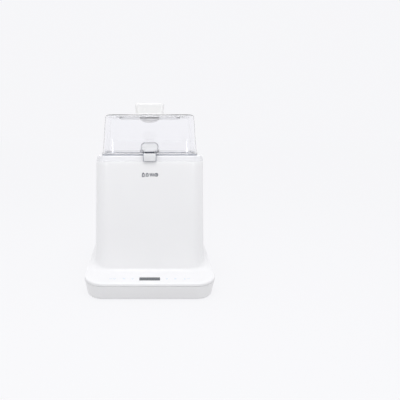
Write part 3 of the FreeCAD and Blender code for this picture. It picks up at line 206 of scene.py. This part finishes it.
def outline_pattern():
    """Signs of the blended corner centre and the normal's angle for each point of an outline.

    A rounded rectangle is walked corner by corner: along an arc the angle grows by a quarter
    turn, and along a side the centre slides from one corner's to the next at a steady angle.
    """
    quarter = math.pi / 2
    arc = np.linspace(0, quarter, ARC_POINTS)
    slide = np.linspace(0, 1, SIDE_POINTS + 2)[1:-1]
    sign_x = np.array([1, -1, -1, 1, 1])
    sign_y = np.array([1, 1, -1, -1, 1])
    parts_x, parts_y, angles = [], [], []
    for corner in range(4):
        for parts, sign in ((parts_x, sign_x), (parts_y, sign_y)):
            parts.append(np.full(ARC_POINTS, sign[corner]))
            parts.append(sign[corner] * (1 - slide) + sign[corner + 1] * slide)
        angles += [corner * quarter + arc, np.full(SIDE_POINTS, (corner + 1) * quarter)]
    return np.concatenate(parts_x), np.concatenate(parts_y), np.concatenate(angles)


SIGN_X, SIGN_Y, NORMAL_ANGLE = outline_pattern()


def rounded(half_x, half_y, corner):
    """Rounded rectangle about the origin: centre of the nearest corner plus the corner's radius."""
    x = (half_x - corner) * SIGN_X + corner * np.cos(NORMAL_ANGLE)
    y = (half_y - corner) * SIGN_Y + corner * np.sin(NORMAL_ANGLE)
    return x, y


def rows(*stations, centre_y=0.0):
    """A grid of outlines: each station is half width, half depth, corner radius and height."""
    grid = []
    for half_x, half_y, corner, height in stations:
        x, y = rounded(half_x, half_y, corner)
        grid.append(np.stack([x, y + centre_y, np.broadcast_to(height, x.shape)], axis=-1))
    return np.array(grid)


def bend(start, stop, count):
    """Sine and cosine along a part of a circle, from one angle to another in degrees."""
    angle = np.radians(np.linspace(start, stop, count))
    return zip(np.cos(angle), np.sin(angle))


def grid_faces(height, width, wrap, poles):
    """Quads of a grid that closes along its rows; wrap joins the last row to the first."""
    index = np.arange(height * width).reshape(height, width)
    low = index if wrap else index[:-1]
    high = np.roll(index, -1, axis=0) if wrap else index[1:]
    quads = np.stack([low, np.roll(low, -1, axis=1), np.roll(high, -1, axis=1), high], axis=-1)
    faces = quads.reshape(-1, 4).tolist()
    if poles:
        first = height * width
        near, far = index[0], index[-1]
        faces += np.stack([np.full(width, first), np.roll(near, -1), near], axis=-1).tolist()
        faces += np.stack([np.full(width, first + 1), far, np.roll(far, -1)], axis=-1).tolist()
    return faces


def volume(points, faces):
    """Signed volume of a closed mesh: the sum over its triangles of a corner product over six."""
    triangles = np.array([(f[0], f[k], f[k + 1]) for f in faces for k in range(1, len(f) - 1)])
    a, b, c = (points[triangles[:, k]] for k in range(3))
    return float(np.einsum("ij,ij->i", a, np.cross(b, c)).sum()) / 6


def piece_from(name, points, faces, slot, body, stands_for=(), angle=SMOOTH_ANGLE):
    """A finished piece from points in millimetres: faces outwards, smooth with crisp edges."""
    if volume(points, faces) < 0:
        faces = [face[::-1] for face in faces]
    mesh = bpy.data.meshes.new(name)
    mesh.from_pydata((points * MM).tolist(), [], faces)
    mesh.update()
    mesh.shade_smooth()
    mesh.set_sharp_from_angle(angle=angle)
    piece = bpy.data.objects.new(name, mesh)
    bpy.context.scene.collection.objects.link(piece)
    mesh.materials.append(MATERIALS[slot])
    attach(piece, body)
    if stands_for:
        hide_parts(*stands_for)
    return piece


def skin(name, grid, slot, body, stands_for=(), wrap=False, angle=SMOOTH_ANGLE):
    """A closed piece from a grid of outlines: wrapped into a ring, or closed by a pole at each end."""
    points = grid.reshape(-1, 3)
    if not wrap:
        points = np.vstack([points, grid[0].mean(axis=0), grid[-1].mean(axis=0)])
    faces = grid_faces(grid.shape[0], grid.shape[1], wrap, not wrap)
    return piece_from(name, points, faces, slot, body, stands_for, angle)


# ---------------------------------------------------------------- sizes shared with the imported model

def corners_mm(node):
    """Lowest and highest corner of a CAD node in millimetres."""
    low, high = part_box(node)
    return np.array(low) / MM, np.array(high) / MM


HOUSING_HIGH = corners_mm("body_housing")[1]
BASE_X = HOUSING_HIGH[0]
BASE_Y = HOUSING_HIGH[1]
BASE_CORNER = 42.0
TOWER_TOP = HOUSING_HIGH[2]
TOWER_X, TOWER_DEPTH, TOWER_CORNER = 120.0, 93.5, 35.0
TOWER_Y = 20.0
TOWER_TAPER = 7.5
DECK_FRONT, DECK_RISE = 37.6, 0.125
WALL = 2.5
AIR = 0.06
COLLAR_TOP = corners_mm("tub_collar")[1][2]
TOP_X, TOP_DEPTH, TOP_CORNER = (size - TOWER_TAPER for size in (TOWER_X, TOWER_DEPTH, TOWER_CORNER))


def deck_height(y):
    """Height of the deck's straight slope at a depth."""
    return DECK_FRONT + DECK_RISE * (y + BASE_Y)


# ---------------------------------------------------------------- housing, collar

def tower_points(height, spread):
    """Outline of the upright at a height, moved outwards by a spread; both are one value a point."""
    out = spread - TOWER_TAPER * height / TOWER_TOP
    x, y = rounded(TOWER_X + out, TOWER_DEPTH + out, TOWER_CORNER + out)
    return x, y + TOWER_Y


def tower_row(height, spread=0.0):
    x, y = tower_points(height, spread)
    return np.stack([x, y, np.broadcast_to(height, x.shape)], axis=-1)


def on_deck_row(spread, lift):
    """Outline around the upright that follows the deck's slope: its height is the deck's plus a lift."""
    height = np.full(NORMAL_ANGLE.shape, deck_height(TOWER_Y))
    for _ in range(3):
        x, y = tower_points(height, spread)
        height = deck_height(y) + lift
    return np.stack([x, y, height], axis=-1)


def rim_row(inset, drop):
    """The foot's outline, moved in by an inset, on the plane that lies a drop below the deck."""
    x, y = rounded(BASE_X - inset, BASE_Y - inset, BASE_CORNER - inset)
    return np.stack([x, y, deck_height(y) - drop], axis=-1)


def make_housing():
    """Upright, flare and deck as one closed shell.

    The front wall leans forwards by a share that grows with the square of the way down. The flare
    below it is a quarter ellipse in each upright section, low at the front and tall at the sides.
    The deck runs straight from the flare's foot to the rim, which is
    rounded by a quarter circle and turns under. The inner face follows at the wall's thickness.
    """
    front = np.clip(-np.sin(NORMAL_ANGLE), 0, 1) ** 1.5
    reach = 11.5 + 0.5 * front
    rise = 21.0 - 14.5 * front
    lean = 5.5 * front
    edge = 2.2
    lip = 6.0
    top_edge = 0.9
    grid = [tower_row(TOWER_TOP - top_edge * (1 - up), -top_edge * (1 - out)) for out, up in bend(90, 0, 5)]
    flare_top = on_deck_row(lean, rise)
    for share in np.linspace(0.04, 1, 22):
        height = (TOWER_TOP - top_edge) * (1 - share) + flare_top[:, 2] * share
        grid.append(tower_row(height, lean * share ** 2))
    for out, up in bend(0, 90, 16):
        grid.append(on_deck_row(lean + reach * (1 - out), rise * (1 - up)))
    foot = grid[-1]
    shoulder = rim_row(edge, 0.0)
    for share in np.linspace(0, 1, 8)[1:-1]:
        row = foot * (1 - share) + shoulder * share
        row[:, 2] = deck_height(row[:, 1])
        grid.append(row)
    grid += [rim_row(edge * (1 - out), edge * (1 - up)) for out, up in bend(90, 0, 9)]
    grid += [rim_row(0.0, lip - 0.4), rim_row(0.15, lip - 0.1), rim_row(0.5, lip), rim_row(WALL, lip)]
    grid += [rim_row(WALL, lip - 1), rim_row(WALL + 2.5, WALL)]
    grid += [on_deck_row(reach - 1, -WALL), on_deck_row(0.4 * reach - WALL, 0.2 * rise - 1),
             on_deck_row(-WALL, rise)]
    grid += [tower_row(TOWER_TOP - 8.6, -WALL), tower_row(TOWER_TOP, -WALL)]
    skin("housing_shell", np.array(grid), "housing_white", "base", ["body_housing"], wrap=True)


RIM_WIDTH = 16.5
OPENING_CORNER = 21.0


def make_collar():
    """Clear ring: leaning outer wall, rounded top edge, flat top and an upright inner wall."""
    edge, inner_edge = 3.0, 0.8
    foot = TOWER_TOP + 0.5
    wall_top = COLLAR_TOP - edge
    lean = 2.0 / (COLLAR_TOP - TOWER_TOP)
    opening = (TOP_X - RIM_WIDTH, TOP_DEPTH - RIM_WIDTH, OPENING_CORNER)

    def outer(inset, z):
        return (TOP_X - inset, TOP_DEPTH - inset, TOP_CORNER - inset, z)

    def inner(spread, z):
        return tuple(size + spread for size in opening) + (z,)

    stations = [outer(0.5, TOWER_TOP + AIR), outer(0.0, foot)]
    start = lean * (wall_top - TOWER_TOP)
    for share in np.linspace(0, 1, 5)[1:]:
        stations.append(outer(start * share, foot + (wall_top - foot) * share))
    for out, up in bend(0, 90, 9):
        stations.append(outer(start + edge * (1 - out), COLLAR_TOP - edge * (1 - up)))
    for out, up in bend(90, 0, 5):
        stations.append(inner(inner_edge * (1 - out), COLLAR_TOP - inner_edge * (1 - up)))
    stations += [inner(0.0, foot), inner(0.5, TOWER_TOP + AIR)]
    return skin("collar_ring", rows(*stations, centre_y=TOWER_Y), "clear_collar", "base",
                ["tub_collar"], wrap=True)


# ---------------------------------------------------------------- lid, handle plate and handle

LID_LOW = COLLAR_TOP + 1.5
LID_HEIGHT = 82.0
LID_MARGIN = 12.4
LID_X, LID_DEPTH, LID_CORNER = TOP_X - LID_MARGIN, TOP_DEPTH - LID_MARGIN, 27.0
LID_TAPER, LID_EDGE, LID_WALL = 7.0, 6.0, 2.5
RECESS = (63.5, 42.0, 24.0)
RECESS_SINK = 4.0
LID_TOP = LID_LOW + LID_HEIGHT


def make_lid():
    """Clear lid as one closed skin, from the recess's middle outside to its middle inside."""
    flange_reach, flange_height = 2.2, 2.8
    fillet = 1.0
    flange_edge, foot_edge = 0.4, 0.3
    soft = 0.6

    def wall(inset, z):
        lean = LID_TAPER * (z - LID_LOW) / LID_HEIGHT + inset
        return (LID_X - lean, LID_DEPTH - lean, LID_CORNER - lean, z)

    def recess(spread, z):
        return tuple(size + spread for size in RECESS) + (z,)

    def turned_in(start, inset, z):
        return tuple(size - inset for size in start[:3]) + (z,)

    floor = LID_TOP - RECESS_SINK
    stations = [tuple(size * share for size in RECESS) + (floor,) for share in (0.05, 0.5, 0.9)]
    stations += [recess(-soft * (1 - out), floor + soft * (1 - up)) for out, up in bend(90, 0, 4)]
    stations += [recess(soft * (1 - out), LID_TOP - soft * (1 - up)) for out, up in bend(0, 90, 4)]
    shoulder = wall(LID_EDGE - LID_TAPER * LID_EDGE / LID_HEIGHT, LID_TOP)
    around = recess(soft, LID_TOP)
    for share in (0.33, 0.67):
        stations.append(tuple(a * (1 - share) + b * share for a, b in zip(around, shoulder)))
    base = wall(0, LID_TOP - LID_EDGE)
    for out, up in bend(90, 0, 12):
        stations.append(turned_in(base, LID_EDGE * (1 - out), LID_TOP - LID_EDGE * (1 - up)))
    flange_top = LID_LOW + flange_height
    stations += [wall(0, z) for z in np.linspace(LID_TOP - LID_EDGE, flange_top + fillet, 14)[1:]]
    stations += [wall(-fillet * (1 - out), flange_top + fillet * (1 - up)) for out, up in bend(0, 90, 5)]
    for out, up in bend(90, 0, 4):
        stations.append(wall(-flange_reach + flange_edge * (1 - out), flange_top - flange_edge * (1 - up)))
    for out, up in bend(0, 90, 4):
        stations.append(wall(-flange_reach + foot_edge * (1 - out), LID_LOW + foot_edge * (1 - up)))
    stations += [wall(LID_WALL - foot_edge, LID_LOW), wall(LID_WALL, LID_LOW + foot_edge)]
    ceiling = LID_TOP - LID_WALL
    inner_edge = LID_EDGE - LID_WALL
    stations += [wall(LID_WALL, z) for z in np.linspace(LID_LOW + 4, ceiling - inner_edge, 12)]
    base = wall(LID_WALL, ceiling - inner_edge)
    for out, up in bend(0, 90, 8):
        stations.append(turned_in(base, inner_edge * (1 - out), ceiling - inner_edge * (1 - up)))
    for out, up in bend(90, 0, 4):
        stations.append(recess(LID_WALL + soft * (1 - out), ceiling - soft * (1 - up)))
    under = floor - LID_WALL
    stations += [recess(LID_WALL - soft * (1 - out), under + soft * (1 - up)) for out, up in bend(0, 90, 4)]
    stations += [tuple(size * share for size in RECESS) + (under,) for share in (0.9, 0.5, 0.05)]
    return skin("lid_clear_shell", rows(*stations, centre_y=TOWER_Y), "clear_lid", "lid", ["lid_shell"])


def make_handle():
    """Crowned plate, a part of a sphere over a rounded outline, and the handle that widens upwards."""
    outline = tuple(size - 0.3 for size in RECESS)
    crown = LID_TOP - RECESS_SINK + 9.5
    radius = 400.0
    soft = 1.4
    grid = []
    for share in np.linspace(0.04, 1, 12):
        x, y = rounded(*(size * share - soft * share for size in outline))
        height = crown - radius + np.sqrt(radius ** 2 - x ** 2 - y ** 2)
        grid.append(np.stack([x, y + TOWER_Y, height], axis=-1))
    rim = grid[-1][:, 2]
    for out, up in bend(80, 0, 6):
        x, y = rounded(*(size - soft * (1 - out) for size in outline))
        grid.append(np.stack([x, y + TOWER_Y, rim - soft * (1 - up)], axis=-1))
    floor = LID_TOP - RECESS_SINK + 0.05
    for inset, z in ((0.0, floor + 0.4), (0.4, floor), (20.0, floor)):
        x, y = rounded(*(size - inset for size in outline))
        grid.append(np.stack([x, y + TOWER_Y, np.full(x.shape, z)], axis=-1))
    skin("crowned_plate", np.array(grid), "handle_white", "lid", ["handle_plate"])
    low, high = corners_mm("lid_handle")
    seat, top = low[2], high[2]
    foot = (30.5, 10.5, 6.9)
    flare = 1.8
    edge = 4.0

    def block(inset, z):
        spread = flare * (z - seat) / (top - seat) - inset
        return tuple(size + spread for size in foot) + (z,)

    head = block(edge, top)
    dish = 0.5
    stations = [tuple(size * share for size in head[:3]) + (top - dish * (1 - share ** 2),)
                for share in (0.05, 0.4, 0.7)]
    stations += [block(edge * (1 - out), top - edge * (1 - up)) for out, up in bend(90, 0, 10)]
    stations += [block(0, z) for z in np.linspace(top - edge, seat + 0.5, 8)[1:]]
    stations += [block(0.5, seat), (15, 4, 3, seat)]
    skin("handle_block", rows(*stations, centre_y=TOWER_Y), "handle_white", "lid", ["lid_handle"])


def make_seal():
    """Seal between the lid's flange and the collar: a flat ring that follows the lid's outline, painted dark
    as shade for the shadow gap under the flange.
    """
    low, high = corners_mm("lid_gasket")
    half_x, half_y = high[0] - 0.1, (high[1] - low[1]) / 2 - 0.1
    outer = [(0.3, low[2]), (0.0, low[2] + 0.2), (0.0, high[2] - 0.2), (0.3, high[2])]
    inner = [(2.4, high[2]), (2.7, high[2] - 0.2), (2.7, low[2] + 0.2), (2.4, low[2])]
    stations = [(half_x - inset, half_y - inset, LID_CORNER - inset, z) for inset, z in outer + inner]
    ring = skin("seal_ring", rows(*stations, centre_y=(high[1] + low[1]) / 2), "silicone", "lid",
                ["lid_gasket"], wrap=True)
    # painted shadow: the seal's white silicone is swapped for a dark colour that stands for the shadow gap
    # between flange and collar
    ring.data.materials[0] = MATERIALS["painted_shade_dark"]


def let_light_through(*pieces):
    """Clear pieces stop no light on its way to what lies behind them."""
    for piece in pieces:
        piece.visible_shadow = False


def make_cap():
    """Frosted round cover under the plate: a shallow bowl whose depth grows with the cube of its radius."""
    low, high = corners_mm("screw_cap")
    radius = (high[0] - low[0]) / 2
    depth = high[2] - low[2] - 0.4
    stations = [(share * radius, low[2] + depth * share ** 3) for share in np.linspace(0.05, 0.98, 14)]
    stations += [(radius, high[2] - 0.5), (radius, high[2] - 0.1), (radius - 0.3, high[2]), (4, high[2])]
    cap = skin("cap_bowl", rows(*[(r, r, r - 0.01, z) for r, z in stations], centre_y=TOWER_Y), "clear_lid",
               "lid", ["screw_cap"])
    cap.data.materials[0] = MATERIALS["cap_frost"]
    return cap


# ---------------------------------------------------------------- latch, display and printed signs

def soft_polygon(corners, radius, steps=4):
    """Polygon whose corners are cut by parabola arcs: (1-t)2 A + 2t(1-t) C + t2 B about a corner C."""
    corners = np.array(corners, float)
    before = np.roll(corners, 1, axis=0) - corners
    after = np.roll(corners, -1, axis=0) - corners
    lengths = [np.linalg.norm(side, axis=1, keepdims=True) for side in (before, after)]
    reach = np.minimum(radius, 0.45 * np.minimum(*lengths))
    start = corners + before / lengths[0] * reach
    stop = corners + after / lengths[1] * reach
    t = np.linspace(0, 1, steps)[None, :, None]
    arcs = (1 - t) ** 2 * start[:, None] + 2 * t * (1 - t) * corners[:, None] + t ** 2 * stop[:, None]
    return arcs.reshape(-1, 2)


def inwards(outline, distance):
    """The outline moved to its inner side along the normals of its points."""
    along = np.roll(outline, -1, axis=0) - np.roll(outline, 1, axis=0)
    normal = np.stack([-along[:, 1], along[:, 0]], axis=1)
    normal /= np.maximum(np.linalg.norm(normal, axis=1, keepdims=True), 1e-9)
    x, y = outline.T
    turning = np.sign(np.sum(x * np.roll(y, -1) - np.roll(x, -1) * y))
    return outline + turning * distance * normal


def slab(name, outline, low, high, bevel, place, slot, body, stands_for=(), material=None):
    """An outline pushed from low to high with bevelled ends; place turns (u, v, w) into a point."""
    stations = [(bevel, low), (0.3 * bevel, low + 0.3 * bevel), (0.0, low + bevel),
                (0.0, high - bevel), (0.3 * bevel, high - 0.3 * bevel), (bevel, high)]
    grid = np.array([place(inwards(outline, inset), height) for inset, height in stations])
    count = len(outline)
    faces = grid_faces(len(stations), count, False, False)
    faces += [list(range(count)), list(range((len(stations) - 1) * count, len(stations) * count))[::-1]]
    if volume_sign(grid, faces) != volume_sign(grid, faces[:-2]):
        faces[-2:] = [face[::-1] for face in faces[-2:]]
    piece = piece_from(name, grid.reshape(-1, 3), faces, slot, body, stands_for)
    if material:
        piece.data.materials.clear()
        piece.data.materials.append(MATERIALS[material])
    return piece


def volume_sign(grid, faces):
    return math.copysign(1, volume(grid.reshape(-1, 3) - grid.mean(axis=(0, 1)), faces))


def across(profile, x):
    """Places a profile drawn in y and z at one x."""
    return np.stack([np.full(len(profile), x), profile[:, 0], profile[:, 1]], axis=1)


def facing_front(outline, y):
    """Places an outline drawn in x and z at one y."""
    return np.stack([outline[:, 0], np.full(len(outline), y), outline[:, 1]], axis=1)


def deck_place(outline, lift):
    """Places an outline drawn in x and in distance from the deck's front edge, above the slope."""
    slope = math.atan(DECK_RISE)
    along = outline[:, 1]
    return np.stack([outline[:, 0], -BASE_Y + along * math.cos(slope) - lift * math.sin(slope),
                     DECK_FRONT + along * math.sin(slope) + lift * math.cos(slope)], axis=1)


def front_wall_place(outline, lift):
    """Places an outline drawn in x and z on the leaning front wall of the upright."""
    z = outline[:, 1]
    wall = TOWER_Y - TOWER_DEPTH + TOWER_TAPER * z / TOWER_TOP
    return np.stack([outline[:, 0], wall - lift, z], axis=1)


def stadium(width, height, centre=(0.0, 0.0)):
    """Two half circles joined by straight sides."""
    x, y = rounded(width / 2, height / 2, min(width, height) / 2 - 0.01)
    return np.stack([x + centre[0], y + centre[1]], axis=1)


PIN_Y, PIN_Z = -62.0, COLLAR_TOP + 6.3


def make_latch():
    """Clear rocker: a rimmed finger pad, and an arm whose groove shows the pin and which ends in a tab."""
    top = corners_mm("latch")[1][2]
    pad_size = (36.6, 20.1)
    pad_back, pad_thickness, rim_rise, rim_width = PIN_Y + 1.2, 2.4, 1.4, 2.2
    middle = top - pad_size[1] / 2
    outer = stadium(*pad_size, centre=(0, middle))
    slab("latch_pad", inwards(outer, 0.5), pad_back - pad_thickness, pad_back, 0.3, facing_front,
         "clear_collar", "latch", ["latch"], "latch_clear")
    inner = stadium(pad_size[0] - 2 * rim_width, pad_size[1] - 2 * rim_width, centre=(0, middle))
    front = pad_back - pad_thickness - rim_rise
    outside = ((0.5, pad_back), (0.1, pad_back - 0.4), (0.0, front + 0.9), (0.25, front + 0.3), (0.8, front))
    inside = ((0.7, front), (0.2, front + 0.3), (0.0, front + 0.9), (0.0, pad_back))
    rings = [facing_front(inwards(outer, inset), y) for inset, y in outside]
    rings += [facing_front(inwards(inner, -inset), y) for inset, y in inside]
    ring = skin("latch_rim", np.array(rings), "clear_collar", "latch", wrap=True)
    # painted shade: the rim takes the darker clear that stands for the grey outline of a clear edge
    ring.data.materials[0] = MATERIALS["latch_painted_edge_shade"]
    tab_low = TOWER_TOP + 0.8
    tab_front, tab_back, nose = -70.6, -68.6, -68.1
    groove_top, groove_low, groove_depth = PIN_Z + 1.5, PIN_Z - 1.7, PIN_Y - 0.2
    arm_top = middle - 8.4
    half_width = 13.2
    profile = [(pad_back, arm_top), (pad_back - pad_thickness, arm_top), (-65.2, groove_top),
               (groove_depth, groove_top), (groove_depth, groove_low), (tab_back, groove_low),
               (tab_front, PIN_Z - 3.4), (tab_front, tab_low), (nose, tab_low), (nose, tab_low + 1.6),
               (tab_back, tab_low + 2.4), (tab_back, PIN_Z - 5), (PIN_Y - 1, PIN_Z - 3.4),
               (PIN_Y + 1, PIN_Z - 3.2)]
    arm = slab("latch_arm", soft_polygon(profile, 0.7), -half_width, half_width, 0.9, across,
               "clear_collar", "latch", (), "latch_clear")
    # painted shade: the arm's sides and the faces that look down take the dark colour, which stands for the
    # dark lines a clear tab shows at its edges
    arm.data.materials.append(MATERIALS["painted_shade_dark"])
    sides = np.array([abs(face.normal.x) > 0.3 or face.normal.z < -0.3 for face in arm.data.polygons])
    arm.data.polygons.foreach_set("material_index", sides.astype(np.int32))


def make_display():
    """Smoked window, proud of the deck by a hair."""
    half_x, half_y, corner = 21, 6.2, 1.6
    middle = 13 + half_y
    x, y = rounded(half_x, half_y, corner)
    slab("display_glass", np.stack([x, y + middle], axis=1), -0.6, 0.32, 0.15, deck_place,
         "smoked_window", "base", ["display_window"])


def stroke(points, width, closed=False):
    """A flat line of a given width: its two sides lie half the width left and right of the points."""
    points = np.array(points, float)
    if closed:
        along = np.roll(points, -1, axis=0) - np.roll(points, 1, axis=0)
    else:
        along = np.gradient(points, axis=0)
    along /= np.linalg.norm(along, axis=1, keepdims=True)
    side = np.stack([-along[:, 1], along[:, 0]], axis=1) * width / 2
    return points + side, points - side


def circle(centre, radius, start=0, stop=360, count=25):
    angle = np.radians(np.linspace(start, stop, count))
    return np.stack([centre[0] + radius * np.cos(angle), centre[1] + radius * np.sin(angle)], axis=1)


def wave(x, y, length, sway=0.7):
    """A short upright wave: x swings as a sine while y climbs."""
    climb = np.linspace(0, 1, 13)
    return np.stack([x + sway * np.sin(climb * 2 * math.pi), y + length * (climb - 0.5)], axis=1)


def drop(x, y, size):
    """A drop: a circle whose upper side is drawn out to a point."""
    angle = np.radians(np.linspace(-90, 270, 33)[:-1])
    pull = np.clip(np.sin(angle), 0, 1) ** 3
    across_drop = x + size * np.cos(angle) * (1 - 0.55 * pull)
    return np.stack([across_drop, y + size * (np.sin(angle) + 0.7 * pull)], axis=1)


def bottle(x, y, size):
    """A feeding bottle seen from the side: body, shoulder, ring and teat."""
    half = [(0.5, -1.0), (0.5, 0.25), (0.34, 0.45), (0.34, 0.62), (0.16, 0.68), (0.1, 0.95)]
    outline = half + [(-u, v) for u, v in reversed(half)]
    return soft_polygon(outline, 0.12, 3) * size + np.array([x, y])


def ring_line(outline):
    """A closed outline without its repeated last point."""
    return outline[:-1] if np.allclose(outline[0], outline[-1]) else outline


def blade(turn):
    """One curved blade of the drying sign, about its middle."""
    centre = (1.6 * math.cos(turn), 1.6 * math.sin(turn))
    return circle(centre, 0.75, math.degrees(turn) - 100, math.degrees(turn) + 60, 9)


# each sign is drawn about (0, 0): lines as (points, closed)
SIGNS = {
    "power": [(circle((0, 0), 2.0, 120, 420), False), (np.array([(0, 0.6), (0, 2.6)]), False)],
    "steam": [(wave(x, 0, 3.8), False) for x in (-1.8, 0, 1.8)],
    "dry": [(ring_line(circle((0, 0), 0.7)), True)] + [(blade(turn), False) for turn in (0.5, 2.6, 4.7)],
    "clock": [(ring_line(circle((0, 0), 2.1)), True), (np.array([(0, 1.2), (0, 0), (1.0, -0.5)]), False)],
    "warm": [(drop(0, -0.4, 1.6), True)],
    "store": [(bottle(0, 0, 2.2), True)],
}


def draw(name, lines, width, place, lift, slot, material, shift=(0, 0)):
    """Print of thin raised lines, joined into one piece: each line is a closed strip."""
    points, faces = [], []
    count = 0
    root = -0.1
    for line, closed in lines:
        left, right = stroke(line + np.array(shift), width, closed)
        edges = ((left, root), (right, root), (right, lift), (left, lift))
        grid = np.stack([place(edge, height) for edge, height in edges], axis=1)
        strip = grid_faces(len(line), 4, closed, False)
        if not closed:
            last = 4 * (len(line) - 1)
            strip += [[0, 3, 2, 1], [last, last + 1, last + 2, last + 3]]
        flat = grid.reshape(-1, 3)
        if volume(flat, strip) < 0:
            strip = [face[::-1] for face in strip]
        points.append(flat)
        faces += [[count + corner for corner in face] for face in strip]
        count += len(flat)
    piece = piece_from(name, np.vstack(points), faces, slot, "base")
    piece.data.materials[0] = MATERIALS[material]
    return piece


def make_signs():
    """Touch signs on both sides of the display and a small row of pictures on the front wall."""
    places = {"power": -71, "steam": -52, "dry": -34.5, "warm": 34.5, "clock": 52, "store": 71}
    along, lift = 20.0, 0.12
    for sign, x in places.items():
        draw("sign_" + sign, SIGNS[sign], 0.7, deck_place, lift, "smoked_window", "print_blue", (x, along))
    for label, side in (("left", -1), ("right", 1)):
        bar = np.array([(side * 75.5, along), (side * 82, along)])
        draw("sign_mark_" + label, [(bar, False)], 0.9, deck_place, lift, "smoked_window", "print_blue")
    row = [(bottle(-13.2, 0, 3.9), True), (drop(-5.2, -0.8, 2.4), True)]
    row += [(wave(x, 0, 6.4, 0.9), False) for x in (1.4, 4.6, 7.8)]
    row += [(ring_line(circle((13.6, 0), 3.0)), True)]
    row += [(np.array([(13.6, 1.8), (13.6, 0), (15.0, -0.9)]), False)]
    draw("front_pictures", row, 1.6, front_wall_place, lift, "smoked_window", "print_slate", (0, 247))


# ---------------------------------------------------------------- CAD nodes in their finishes

def slot_of(node):
    """The record's material slot of a CAD node."""
    return {row["node"]: row["material_slot"] for row in frame["record"]["subparts"]}[node]


def smooth_copy(node, body):
    """A merged copy of a CAD node with smooth walls and crisp edges, which stands for the node."""
    source = nodes[node].data
    mesh = bmesh.new()
    mesh.from_mesh(source)
    bmesh.ops.remove_doubles(mesh, verts=mesh.verts, dist=MERGE_DISTANCE)
    bmesh.ops.dissolve_limit(mesh, angle_limit=FLAT_ANGLE, verts=mesh.verts, edges=mesh.edges,
                             delimit={"NORMAL"})
    data = bpy.data.meshes.new(node + "_finished")
    mesh.to_mesh(data)
    mesh.free()
    data.shade_smooth()
    data.set_sharp_from_angle(angle=SMOOTH_ANGLE)
    piece = bpy.data.objects.new(node + "_finished", data)
    bpy.context.scene.collection.objects.link(piece)
    data.materials.append(MATERIALS[slot_of(node)])
    weigh = piece.modifiers.new("even_normals", "WEIGHTED_NORMAL")
    weigh.keep_sharp = True
    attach(piece, body)
    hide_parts(node)
    return piece


make_housing()
let_light_through(make_collar(), make_lid(), make_cap())
make_handle()
make_seal()
make_latch()
make_display()
make_signs()
MADE_ANEW = {"body_housing", "tub_collar", "lid_shell", "handle_plate", "lid_handle", "latch",
             "display_window", "screw_cap", "lid_gasket"}
for body, members in frame["record"]["behaviour"]["bodies"].items():
    for node in members:
        if node not in MADE_ANEW:
            smooth_copy(node, body)


# ---------------------------------------------------------------- floor, light and camera

PALE = (0.925, 0.925, 0.945)


def make_floor():
    """Wide paper floor that glows a little by itself, so that shadows on it stay faint."""
    bpy.ops.mesh.primitive_plane_add(size=200)
    floor = bpy.context.object
    floor.name = "floor"
    paper = moulded("floor_paper", (0.12, 0.12, 0.12), 0.8, 0.9, 300.0, 0.02, 0.99, Specular_IOR_Level=0.0)
    shader = paper.node_tree.nodes["Principled BSDF"]
    shader.inputs["Emission Color"].default_value = (*PALE, 1)
    tree = paper.node_tree
    spread = tree.nodes.new("ShaderNodeLightPath").outputs["Is Diffuse Ray"]
    glow = add(tree, "ShaderNodeMix", data_type="FLOAT")
    glow.inputs["A"].default_value = 0.875
    glow.inputs["B"].default_value = 0.57
    tree.links.new(spread, glow.inputs["Factor"])
    tree.links.new(glow.outputs["Result"], shader.inputs["Emission Strength"])
    floor.data.materials.append(paper)


def make_light(name, place, aim, size, power, only_shine=False):
    """A round lamp turned towards a point; one that is only for shine doesn't light dull surfaces."""
    lamp = bpy.data.lights.new(name, "AREA")
    lamp.shape = "DISK"
    lamp.size = size
    lamp.energy = power
    item = bpy.data.objects.new(name, lamp)
    bpy.context.scene.collection.objects.link(item)
    item.location = place
    item.visible_diffuse = not only_shine
    item.rotation_euler = (Vector(aim) - Vector(place)).to_track_quat("-Z", "Y").to_euler()


def make_world():
    """A pale studio all round, a little brighter at the two sides for dull surfaces."""
    world = bpy.data.worlds.new("studio")
    bpy.context.scene.world = world
    world.use_nodes = True
    tree = world.node_tree
    link = tree.links.new
    backdrop = tree.nodes["Background"]
    backdrop.inputs["Color"].default_value = (*PALE, 1)
    backdrop.inputs["Strength"].default_value = 1.0
    direction = tree.nodes.new("ShaderNodeTexCoord").outputs["Generated"]
    split = tree.nodes.new("ShaderNodeSeparateXYZ")
    link(direction, split.inputs["Vector"])
    side = add(tree, "ShaderNodeMath", operation="ABSOLUTE")
    link(split.outputs["X"], side.inputs[0])
    level = tree.nodes.new("ShaderNodeMapRange")
    level.interpolation_type = "SMOOTHSTEP"
    for label, number in (("From Min", 0.5), ("From Max", 0.95), ("To Min", 1.0), ("To Max", 1.15)):
        level.inputs[label].default_value = number
    link(side.outputs["Value"], level.inputs["Value"])
    spread = tree.nodes.new("ShaderNodeLightPath").outputs["Is Diffuse Ray"]
    light = add(tree, "ShaderNodeMix", data_type="FLOAT")
    light.inputs["A"].default_value = 1.0
    link(spread, light.inputs["Factor"])
    link(level.outputs["Result"], light.inputs["B"])
    link(light.outputs["Result"], backdrop.inputs["Strength"])


def make_camera():
    """The viewing angle: level with the lid, a little to the right, looking down at the foot."""
    lens = bpy.data.cameras.new("camera")
    lens.lens = 33.3
    lens.shift_x = 0.1258
    item = bpy.data.objects.new("camera", lens)
    item.location = (0, -0.825, 0.3195)
    item.rotation_euler = (math.radians(90 - 9.36), 0, 0)
    bpy.context.scene.collection.objects.link(item)
    bpy.context.scene.camera = item


make_floor()
make_world()
make_light("top_light", (0, -0.5, 1.05), (0, 0, 0.25), 0.6, 2.95)
for label, side in (("left", -1), ("right", 1)):
    make_light("shine_" + label, (side * 0.6, -1.3, 0.4), (0, 0, 0.33), 0.3, 1.1, only_shine=True)
make_camera()
bpy.context.scene.view_settings.view_transform = "Standard"
